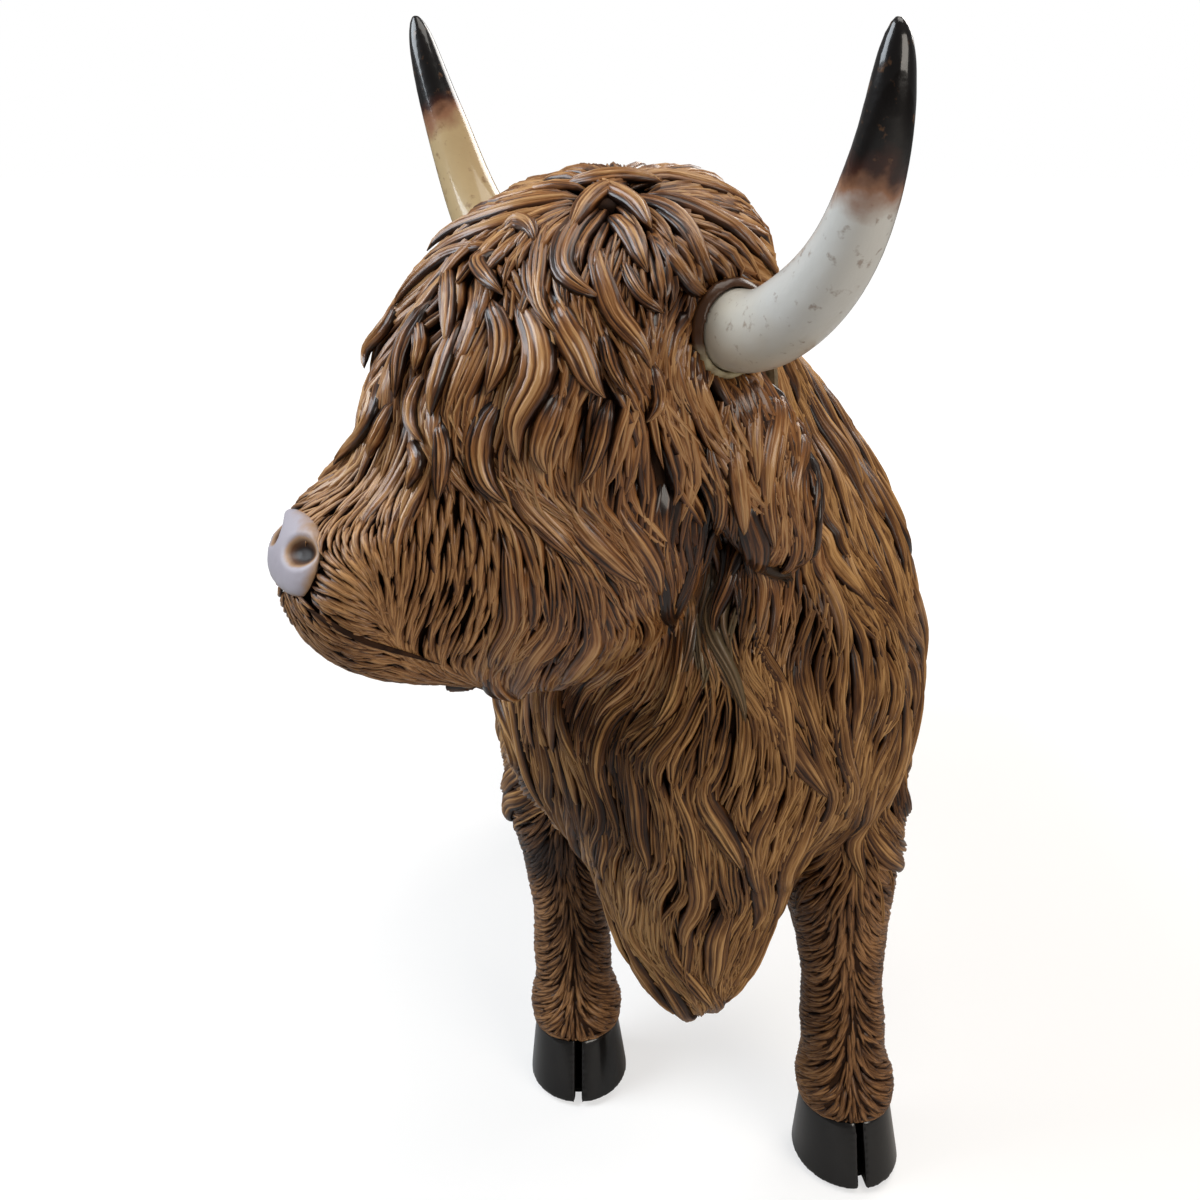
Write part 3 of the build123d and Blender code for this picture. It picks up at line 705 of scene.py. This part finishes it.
def traced(starts, normals, kind, length, wave, steps=14):
    """Lines over the skin from their starts, combed and waved, with the normals along them."""
    count = len(starts)
    lines = np.zeros((count, steps + 1, 3))
    upward = np.zeros_like(lines)
    place, normal = starts.copy(), normals.copy()
    phase = chance.normal(0, 0.45, count)
    lean = chance.normal(0, 0.08, count)
    for step in range(steps + 1):
        lines[:, step] = place
        upward[:, step] = normal
        flow = comb(place, normal, kind)
        side = np.cross(normal, flow)
        swing = lean + wave * wave_at(place, phase)
        move = flow * np.cos(swing)[:, None] + side * np.sin(swing)[:, None]
        goal = place + move * (length / steps)[:, None]
        if kind == "leg":
            goal[:, 2] = np.maximum(goal[:, 2], hair_lip)
        for index in range(count):
            spot, spot_normal, _, _ = skin_tree.find_nearest(goal[index])
            place[index] = spot
            normal[index] = 0.6 * normal[index] + 0.4 * np.array(spot_normal)
        normal = unit_rows(normal)
    return lines, upward


# %% [markdown]
# Starting points are scattered over the faces of a coat and then thinned out, farther apart along
# the hair than across it, so that the strands overlap like shingles without bare spots.

# %% Scattering the roots
tries_for_a_root = 5


def scattered(faces, kind, along, across):
    """Roots on the given faces, thinned to the spacings along and across the hair."""
    area = face_areas[faces]
    count = int(area.sum() / (along * across) * tries_for_a_root)
    chosen = chance.choice(faces, count, p=area / area.sum())
    corner = chance.dirichlet((1, 1, 1), count)
    places = (vert_places[face_verts[chosen]] * corner[:, :, None]).sum(1)
    normals = face_normals[chosen]
    flow = comb(places, normals, kind)
    tree = KDTree(count)
    for index, place in enumerate(places):
        tree.insert(place, index)
    tree.balance()
    alive = np.ones(count, bool)
    kept = []
    for index in range(count):
        if not alive[index]:
            continue
        kept.append(index)
        found = [near for _, near, _ in tree.find_range(places[index], along)]
        gap = places[found] - places[index]
        run = gap @ flow[index]
        beside = np.linalg.norm(gap - run[:, None] * flow[index], axis=1)
        close = (run / along) ** 2 + (beside / across) ** 2 < 1
        alive[np.array(found)[close]] = False
    return places[kept], normals[kept]


most_faces_of_a_piece = 80000
spacing_along = 0.33  # share of a strand's length from root to root
spacing_across = 0.56  # share of its width


def coat(name, faces, kind, unit, length, width, height, wave, paint, cover=1.0, sunk=0.8):
    """Coats the faces with strands of a size in millimetres, in pieces small enough to handle."""
    length, width, height = length * MM, width * MM, height * MM
    along, across = length * spacing_along / cover, width * spacing_across / cover
    starts, normals = scattered(faces, kind, along, across)
    count = len(starts)
    lengths = length * (0.7 + 0.6 * chance.random(count))
    lines, upward = traced(starts, normals, kind, lengths, wave)
    girth = 0.65 + 0.8 * chance.random(count) ** 1.5
    widths = width * girth
    heights = height * (0.55 + 0.45 * girth)
    twist = chance.normal(0, 0.15, count)
    share = max(most_faces_of_a_piece // len(unit.polygons), 1)
    for number, first in enumerate(range(0, count, share)):
        part = slice(first, first + share)
        label = name if count <= share else f"{name}_{number + 1}"
        piece = bent_strands(label, unit, lines[part], upward[part], widths[part], heights[part],
                             heights[part] * sunk, twist[part])
        piece.data.materials.clear()
        piece.data.materials.append(paint)
        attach(piece, "root")
    print(name, "strands:", count)


# %% [markdown]
# The paint of the hair follows the way the real one is made: a dark wash stays in the grooves, and a
# dry brush leaves golden brown on the ridges. The crest value of a strand and streaks that run along
# its UV map decide how much of each shows, and the same streaks are cut in as fine grooves.

# %% Paints
def hair_paint(name, dark, shade_brown, middle, light, gloss, groove_depth):
    """Washed and dry brushed resin hair, for strands with the strand UV map."""
    material, tree, shader = new_paint(name, 0.42, gloss, 0.16)
    lay = add_node(tree, "UVMap", uv_map="strand").outputs[0]
    along, across, _ = add_node(tree, "SeparateXYZ", inputs={0: lay}).outputs
    tone = stored(tree, "tone")
    offset = math_node(tree, "MULTIPLY", tone, 61.0)

    def streaks(along_scale, across_scale, detail):
        """Noise drawn out along the strand, its own for each strand."""
        spot = add_node(tree, "CombineXYZ", inputs={
            0: math_node(tree, "MULTIPLY", along, along_scale),
            1: math_node(tree, "MULTIPLY", across, across_scale), 2: offset}).outputs[0]
        return noise(tree, spot, 1.0, detail)

    streak = streaks(2.2, 5.0, 2.0)
    hairline = streaks(3.5, 16.0, 3.0)
    shade = around(tree, stored(tree, "crest"), 0.36, 1.1)
    for part in (
        around(tree, streak, 0.5, 1.0),
        around(tree, hairline, 0.5, 1.1),
        map_range(tree, along, 0.0, 0.45, -0.22, 0.06),
        around(tree, noise(tree, object_place(tree), 48.0, 2.0), 0.5, 0.7),
        # Painted shade: strands around the ear and behind the cheek are darkened
        math_node(tree, "MULTIPLY", stored(tree, "painted_shade"), -0.55),
    ):
        shade = math_node(tree, "ADD", shade, part)
    shade = math_node(tree, "ADD", shade, math_node(tree, "MULTIPLY", tone, 0.22), clamp=True)
    color = ramp_of(tree, shade, [(0.06, dark), (0.36, shade_brown), (0.66, middle), (0.98, light)])
    filler = math_node(tree, "MULTIPLY", stored(tree, "filler"), 0.8)
    tree.links.new(mixed(tree, filler, color, paint_value(132, 116, 88)), shader.inputs["Base Color"])
    cut = math_node(tree, "ADD", math_node(tree, "MULTIPLY", streak, 0.8), hairline)
    bumped(tree, shader, cut, 0.8, groove_depth)
    return material


wash_brown = paint_value(28, 12, 4)
head_hair = hair_paint("head_hair", wash_brown, paint_value(78, 44, 19), paint_value(136, 88, 45),
                       paint_value(186, 142, 94), 0.6, 0.45 * MM)
muzzle_hair = hair_paint("muzzle_hair", wash_brown, paint_value(86, 52, 25), paint_value(132, 90, 52),
                         paint_value(184, 138, 90), 0.3, 0.3 * MM)
body_hair = hair_paint("body_hair", wash_brown, paint_value(78, 46, 20), paint_value(128, 88, 48),
                       paint_value(184, 140, 88), 0.22, 0.4 * MM)
leg_hair = hair_paint("leg_hair", wash_brown, paint_value(64, 38, 18), paint_value(106, 70, 38),
                      paint_value(160, 116, 74), 0.2, 0.25 * MM)


def base_paint(name, dark, light, roughness, gloss, scale, depth):
    """Cast resin with cloudy paint, on object coordinates."""
    material, tree, shader = new_paint(name, roughness, gloss, 0.15)
    cloud = noise(tree, object_place(tree), scale, 5.0)
    tree.links.new(ramp_of(tree, cloud, [(0.3, dark), (0.7, light)]), shader.inputs["Base Color"])
    bumped(tree, shader, cloud, 0.6, depth)
    return material


base_paints = {name: base_paint(f"{name}_paint", *look, depth * MM) for name, *look, depth in (
    ("undercoat", paint_value(26, 13, 6), paint_value(58, 35, 18), 0.9, 0, 260, 0.6),
    ("hoof", paint_value(7, 5, 4), paint_value(18, 15, 13), 0.3, 0.8, 120, 0.15),
    ("steel", (0.5, 0.5, 0.51, 1), (0.62, 0.62, 0.63, 1), 0.3, 0, 900, 0.02),
    ("felt", (0.012, 0.011, 0.01, 1), (0.03, 0.027, 0.024, 1), 0.95, 0, 1800, 0.3),
    ("plug", (0.01, 0.008, 0.006, 1), (0.02, 0.016, 0.013, 1), 0.7, 0, 400, 0.1),
    ("putty", paint_value(70, 60, 44), paint_value(128, 110, 84), 0.7, 0.1, 500, 0.3),
    ("glue", paint_value(150, 134, 104), paint_value(200, 188, 152), 0.35, 0.4, 400, 0.4),
)}
base_paints["steel"].node_tree.nodes["Principled BSDF"].inputs["Metallic"].default_value = 1

# %% [markdown]
# Below the strands lies a dark skin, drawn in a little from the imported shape, so that the grooves
# between strands end in shadow and never in a hole. The hooves are cut off the legs, smoothed and
# flared, and a low cap closes the whorl on the crown, where the strands part.

# %% Undercoats and hooves
def dressed(piece, paint):
    """A smooth piece with its paint, bound to the body."""
    for polygon in piece.data.polygons:
        polygon.use_smooth = True
    piece.data.materials.clear()
    piece.data.materials.append(paint)
    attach(piece, "root")
    return piece


def undercoat(node, shape, voxel, sink):
    """A dark skin over a shape, which replaces one casting."""
    name = node.removesuffix("_casting") + "_undercoat"
    piece = dressed(cast_skin(name, shape, voxel, 4, sink), base_paints["undercoat"])
    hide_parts(node)


def cut_copy(node, height, below):
    """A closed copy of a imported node, cut level at a height, with the part below or above kept."""
    bm = merged_copy([node])
    bmesh.ops.bisect_plane(bm, geom=bm.verts[:] + bm.edges[:] + bm.faces[:], plane_co=(0, 0, height),
                           plane_no=(0, 0, 1), clear_outer=below, clear_inner=not below)
    bmesh.ops.holes_fill(bm, edges=[edge for edge in bm.edges if edge.is_boundary])
    return bm


for node, voxel, sink in (("body_casting", 2.5, 2.4), ("head_casting", 2, 2.4), ("ear_left", 1.2, 1.2),
                          ("ear_right", 1.2, 1.2), ("tail", 1.5, 1.2)):
    undercoat(node, merged_copy([node]), voxel * MM, sink * MM)

hoof_swell = 1.02
hoof_flare = 0.09
for leg in leg_names:
    node = f"leg_{leg}"
    undercoat(node, cut_copy(node, hoof_top - 1 * MM, False), 1.2 * MM, 0.5 * MM)
    hoof = cast_skin(f"hoof_{leg}", cut_copy(node, hoof_top, True), 0.6 * MM, 9)
    middle = np.array(foot_places[leg])
    places = np.array([vert.co for vert in hoof.data.vertices])
    flare = hoof_swell + hoof_flare * np.clip(1 - places[:, 2:] / hoof_top, 0, 1) ** 0.7
    places[:, :2] = middle[:2] + (places[:, :2] - middle[:2]) * flare
    hoof.data.vertices.foreach_set("co", places.astype(np.float32).ravel())
    dressed(hoof, base_paints["hoof"])

cap_radius = 6 * MM
cap_height_share = 0.4
cap_sink = 1.9 * MM
cap_bm = bmesh.new()
bmesh.ops.create_icosphere(cap_bm, subdivisions=4, radius=cap_radius)
bmesh.ops.scale(cap_bm, verts=cap_bm.verts, vec=(1, 1, cap_height_share))
bmesh.ops.translate(cap_bm, verts=cap_bm.verts, vec=whorl - Vector((0, 0, cap_sink)))
dressed(mesh_object("whorl_cap", cap_bm), base_paints["undercoat"])

# %% [markdown]
# The horns are ivory, cloudy and streaked, and turn through brown into glossy black tips. How far a
# point lies from the tip is kept with the mesh, and the paint reads it.

# %% Horns
def horn_paint(name, pale, root):
    """Ivory resin with a black tip, by the distance from the tip."""
    material, tree, shader = new_paint(name, 0.3, 0.7, 0.08)
    place = object_place(tree)
    cloud = noise(tree, place, 110.0, 4.0)
    reach = math_node(tree, "ADD", stored(tree, "reach"), around(tree, cloud, 0.5, 0.16))
    color = ramp_of(tree, reach, [
        (0.24, paint_value(10, 6, 5)), (0.275, paint_value(52, 24, 14)),
        (0.31, paint_value(140, 98, 72)), (0.37, pale), (0.6, pale), (0.98, root),
    ])
    speck = noise(tree, place, 330.0, 3.0, 0.6)
    chipped = map_range(tree, speck, 0.6, 0.7, 0.0, 0.55)
    tree.links.new(mixed(tree, chipped, color, paint_value(112, 78, 50)), shader.inputs["Base Color"])
    rough = math_node(tree, "ADD", cloud, math_node(tree, "MULTIPLY", speck, 0.5))
    bumped(tree, shader, rough, 0.5, 0.4 * MM)
    return material


horn_paints = {
    "left": horn_paint("horn_left_paint", paint_value(200, 198, 192), paint_value(192, 178, 150)),
    "right": horn_paint("horn_right_paint", paint_value(182, 158, 118), paint_value(170, 138, 94)),
}
for side in ("left", "right"):
    horn = cast_skin(f"horn_{side}_shape", merged_copy([f"horn_{side}"]), 0.8 * MM, 3)
    places = np.array([vert.co for vert in horn.data.vertices])
    tip = places[np.argmax(np.linalg.norm(places - np.array(head_place), axis=1))]
    reach = np.linalg.norm(places - tip, axis=1)
    keep_values(horn.data, "reach", reach / reach.max())
    dressed(horn, horn_paints[side])
    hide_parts(f"horn_{side}")

# %% [markdown]
# The nose is a low pad of pearly paint with a tan rim. A grid is thrown onto the skin from inside
# the muzzle and raised, and two nostrils are pressed into it.

# %% The nose
def nose_paint():
    """Pearl that turns tan at the rim and dark in the nostrils."""
    material, tree, shader = new_paint("nose_paint", 0.45, 0.12, 0.3)
    cloud = noise(tree, object_place(tree), 260.0, 4.0)
    hollow = math_node(tree, "ADD", stored(tree, "hollow"), around(tree, cloud, 0.5, 0.3))
    color = ramp_of(tree, hollow, [
        (0.1, paint_value(164, 157, 164)), (0.28, paint_value(158, 126, 96)),
        (0.55, paint_value(84, 54, 32)), (0.9, paint_value(26, 14, 8)),
    ])
    tree.links.new(color, shader.inputs["Base Color"])
    bumped(tree, shader, cloud, 0.5, 0.3 * MM)
    return material


pad_heart = head_point(62, muzzle_aside, -50)
pad_half_width = 0.64  # as the slopes of rays from the heart of the pad
pad_half_height = 0.37
pad_raise = 1.7
rim_drop = 2.0
nostril_depth = 2.6
nose_bm = bmesh.new()
bmesh.ops.create_grid(nose_bm, x_segments=56, y_segments=36, size=1)
hollow_layer = nose_bm.verts.layers.float.new("hollow")
for vert in nose_bm.verts:
    u, v = vert.co.x, vert.co.y
    aside = u * math.sqrt(1 - v * v / 2.4)
    rise = v * math.sqrt(1 - u * u / 2.4)
    ray = (head_ahead + head_left * aside * pad_half_width + head_up * rise * pad_half_height).normalized()
    place, normal, _, _ = skin_tree.ray_cast(pad_heart, ray)
    spread = ((abs(aside) - 0.56) / 0.33) ** 2 + ((rise - 0.25 * abs(aside)) / 0.3) ** 2
    dent = math.exp(-spread ** 2)
    rim = max(abs(u), abs(v)) ** 6
    raised = place + normal * (pad_raise - rim_drop * rim - nostril_depth * dent) * MM
    vert.co = np.clip(raised, np.array(cad_low), np.array(cad_high))
    vert[hollow_layer] = max(dent, 0.3 * rim, 0.3 * min(max(rise + 0.5 * aside - 0.3, 0), 1))
nose = mesh_object("nose_pad", nose_bm)
solid = nose.modifiers.new("solid", "SOLIDIFY")
solid.thickness = 2.5 * MM
solid.offset = -1
dressed(applied(nose), nose_paint())

# %% [markdown]
# Glue, filler, pins, rods, plug and pads are seen little or not at all, but each gets its paint.

# %% Small pieces
small_paints = {"neck_seam": "putty", "belly_plug": "plug", "felt_pad": "felt", "leg_rod": "steel",
                "pin": "steel"}
for side in ("left", "right"):
    low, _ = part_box(f"horn_glue_{side}")
    paint = base_paints["glue"].copy()
    tree = paint.node_tree
    height = add_node(tree, "SeparateXYZ", inputs={0: object_place(tree)}).outputs[2]
    browned = map_range(tree, height, low.z + 4 * MM, low.z + 9 * MM)
    base = tree.nodes["Principled BSDF"].inputs["Base Color"]
    tree.links.new(mixed(tree, browned, base.links[0].from_socket, paint_value(74, 46, 26)), base)
    bead = cast_skin(f"glue_bead_{side}", merged_copy([f"horn_glue_{side}"]), 0.5 * MM, 12)
    dressed(bead, paint)
    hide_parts(f"horn_glue_{side}")
for name, node in cad_nodes.items():
    for key, paint in small_paints.items():
        if key in name:
            node.data.materials.clear()
            node.data.materials.append(base_paints[paint])
            break

# %% [markdown]
# Each coat has its own strands: fat locks over the forehead, fine hair on the muzzle, long wavy
# strands on cheeks, chest and barrel, and short ripples on the legs.

# %% Coats
label_of = {name: index for index, name in enumerate(coated)}
head_places = in_head(face_places)
ahead_mm, left_mm, up_mm = head_places.T


def faces_where(*conditions):
    """Indices of the guide faces that meet all conditions."""
    return np.nonzero(np.logical_and.reduce(conditions))[0]


def is_part(name):
    """Which guide faces came from a node."""
    return face_nodes == label_of[name]


from_whorl = np.linalg.norm(face_places - np.array(whorl), axis=1)
on_head = is_part("head_casting")
on_body = is_part("body_casting")
nose_pad = (ahead_mm > 72) & (up_mm < -41.5) & (up_mm > -57.5) & (np.abs(left_mm - muzzle_aside) < 13.5)
lip_zone = (ahead_mm > 79) & (up_mm <= -56)
forelock_zone = (up_mm > -38 + 0.25 * ahead_mm) & (ahead_mm < 62)
fine_zone = (ahead_mm > 50) & ~forelock_zone

# Length, width and height of the strands, their wave, their paint, how densely and how deep they stand
coat("lip_hair", faces_where(on_head, lip_zone, ~nose_pad), "lip", strand_single,
     8, 1.6, 0.8, 0.1, muzzle_hair)
coat("muzzle_hair", faces_where(on_head, fine_zone, ~nose_pad, ~lip_zone), "head", strand_single,
     12, 1.9, 1.0, 0.2, muzzle_hair)
coat("cheek_hair", faces_where(on_head, ~fine_zone, ~forelock_zone), "head", strand_double,
     27, 3.2, 1.9, 0.4, head_hair, 1.35)
coat("forelock_hair", faces_where(on_head, forelock_zone, from_whorl > 13 * MM), "head", strand_double,
     30, 4.4, 2.6, 0.55, head_hair, 1.35)
coat("crown_hair", faces_where(on_head, from_whorl > 1.5 * MM, from_whorl < 20 * MM), "crown", strand_double,
     19, 3.6, 2.0, 0.35, head_hair, 1.5, 0.2)
for side in ("left", "right"):
    coat(f"ear_{side}_hair", faces_where(is_part(f"ear_{side}")), "ear", strand_double,
         23, 3.2, 1.8, 0.35, head_hair, 1.15)
    coat(f"ear_{side}_locks", faces_where(is_part(f"ear_{side}")), "ear", strand_forelock,
         27, 5, 2.2, 0.4, head_hair, 0.6, 0.3)
leg_reach = 27 * MM
leg_top = 106 * MM
near_leg = np.zeros(len(face_places), bool)
for leg in leg_names:
    gap = face_places[:, :2] - np.array(foot_places[leg])[:2]
    near_leg |= (np.linalg.norm(gap, axis=1) < leg_reach) & (face_places[:, 2] < leg_top)
    front = "front" in leg
    above_lip = face_places[:, 2] > hair_lip + 1 * MM
    coat(f"leg_{leg}_hair", faces_where(is_part(f"leg_{leg}"), above_lip), "leg", strand_single,
         11 if front else 15, 2.0 if front else 2.8, 1.0, 0.15, leg_hair, 1.4)
coat("shank_hair", faces_where(on_body, near_leg), "leg", strand_single,
     13, 2.4, 1.1, 0.2, leg_hair, 1.2)
chest_back = -85 * MM
chest_zone = face_places[:, 1] < chest_back
coat("chest_hair", faces_where(on_body, chest_zone, ~near_leg), "body", strand_double,
     29, 3.2, 2.0, 0.45, body_hair, 1.3)
coat("barrel_hair", faces_where(on_body, ~chest_zone, ~near_leg), "body", strand_double,
     38, 4.4, 2.4, 0.45, body_hair, 1.28)
spine_reach = 9 * MM
on_spine = (np.abs(face_places[:, 0] - spine_aside) < spine_reach) & (face_normals[:, 2] > 0.75)
coat("spine_hair", faces_where(on_body, on_spine), "body", strand_double,
     28, 4, 2.2, 0.35, body_hair, 1.2, 0.25)
coat("cheek_locks", faces_where(on_head, ~fine_zone, ~forelock_zone), "head", strand_forelock,
     32, 5.4, 2.2, 0.45, head_hair, 0.5, 0.35)
coat("chest_locks", faces_where(on_body, chest_zone, ~near_leg), "body", strand_forelock,
     36, 6, 2.4, 0.5, body_hair, 0.5, 0.35)
coat("barrel_locks", faces_where(on_body, ~chest_zone, ~near_leg), "body", strand_forelock,
     44, 7.5, 2.8, 0.5, body_hair, 0.45, 0.35)
coat("tail_hair", faces_where(is_part("tail")), "tail", strand_double,
     30, 3, 1.6, 0.35, body_hair)

# %% [markdown]
# The forelock is what the eye meets first, so its largest locks are laid one by one. Each is read
# from the photograph as a line from root to tip, and lies on the coat below. A row gives the width
# of a lock and then its pixels, across and down in turn.

# %% The large locks
large_locks = [[float(number) for number in row.split()] for row in """
14 590 200 540 205 490 225 440 240 430 255, 26 600 205 575 225 562 250 563 280 575 295 598 300,
28 555 300 570 340 590 380 607 397, 22 610 215 625 235 640 260 648 278,
24 595 240 600 290 620 325 645 345 645 368, 20 620 200 660 205 690 235 697 270 715 298,
18 660 240 670 265 685 290 702 298, 14 620 260 635 290 650 310 660 315, 20 500 240 515 226 535 232 537 250,
22 530 255 535 290 550 320, 18 555 215 540 240 537 280 540 310 560 340, 18 500 250 475 265 490 280 505 300,
32 515 300 540 330 545 370 530 400 510 420 520 460, 24 490 300 505 340 500 370 487 395,
18 450 265 450 300 457 330 454 350, 22 460 320 450 360 440 400 437 418, 18 430 300 415 330 403 360 400 400,
16 420 320 425 350 420 375, 16 500 245 455 255 420 285 400 310, 16 400 300 392 330 375 350 372 372,
16 395 400 385 430 375 460, 14 380 375 385 400 370 440 340 470, 16 425 370 415 400 418 430 430 445,
26 500 400 480 430 478 460 490 490 508 500, 22 560 390 545 420 535 450 545 470,
18 610 400 600 440 590 470 580 482, 18 440 420 445 450 440 480 437 500, 16 410 440 425 460 412 492,
14 650 360 655 400 640 420, 14 600 330 615 370 625 395, 16 620 185 660 180 700 190 745 210,
18 640 195 690 210 730 235 760 265, 18 650 205 680 230 700 265 710 300, 16 680 200 720 225 750 250 775 280,
16 560 210 510 225 460 250 430 265, 24 632 183 606 192 584 212 572 240, 22 590 180 612 196 636 212 652 236,
20 562 187 590 184 625 183 660 190
""".split(",")]
picture_pixel = 0.23 * MM  # what a pixel of the picture covers at the forelock
lock_fullness = 1.15
lock_height = 2.6 * MM
lock_raise = 0.3 * MM
# The mouth is a dark strand in the undercoat colour, raised over the coat along the lips. It stands in for
# the carved groove of the mouth: the dark wash of the groove and painted shade.
mouth_stroke = strokes_of("303 604 330 622 372 645 405 650 440 662")
mouth_width = 1.8 * MM
mouth_height = 0.6 * MM
mouth_raise = 0.5 * MM


def laid(stroke, steps=14):
    """A smooth line over the skin through the pixels of a stroke, with its normals."""
    knots = np.array(stroke, float)
    run = np.concatenate([[0], np.cumsum(np.linalg.norm(np.diff(knots, axis=0), axis=1))])
    spots = np.linspace(0, run[-1], steps + 1)
    path = np.stack([np.interp(spots, run, knots[:, 0]), np.interp(spots, run, knots[:, 1])], axis=1)
    for _ in range(3):
        path[1:-1] = (path[:-2] + 2 * path[1:-1] + path[2:]) / 4
    places, normals = (np.array(rows) for rows in zip(*[on_skin(x, y) for x, y in path]))
    for _ in range(3):
        places[1:-1] = (places[:-2] + 2 * places[1:-1] + places[2:]) / 4
        normals[1:-1] = unit_rows(normals[:-2] + 2 * normals[1:-1] + normals[2:])
    return places, normals


def laid_strands(name, unit, strokes, widths, height, raised, paint):
    """Strands of their own along strokes of the picture, raised over the coat."""
    lines, upward = (np.array(rows) for rows in zip(*[laid(stroke) for stroke in strokes]))
    count = len(strokes)
    piece = bent_strands(name, unit, lines, upward, np.array(widths), np.full(count, height),
                         np.full(count, -raised), chance.normal(0, 0.06, count))
    dressed(piece, paint)


lock_strokes = [np.reshape(lock[1:], (-1, 2)) for lock in large_locks]
lock_widths = [lock[0] * lock_fullness * picture_pixel for lock in large_locks]
laid_strands("forelock_locks", strand_forelock, lock_strokes, lock_widths, lock_height, lock_raise, head_hair)
# Painted shade: a dark strand along the mouth stands in for its groove
laid_strands("painted_mouth_groove", strand_single, mouth_stroke, [mouth_width], mouth_height, mouth_raise,
             base_paints["undercoat"])
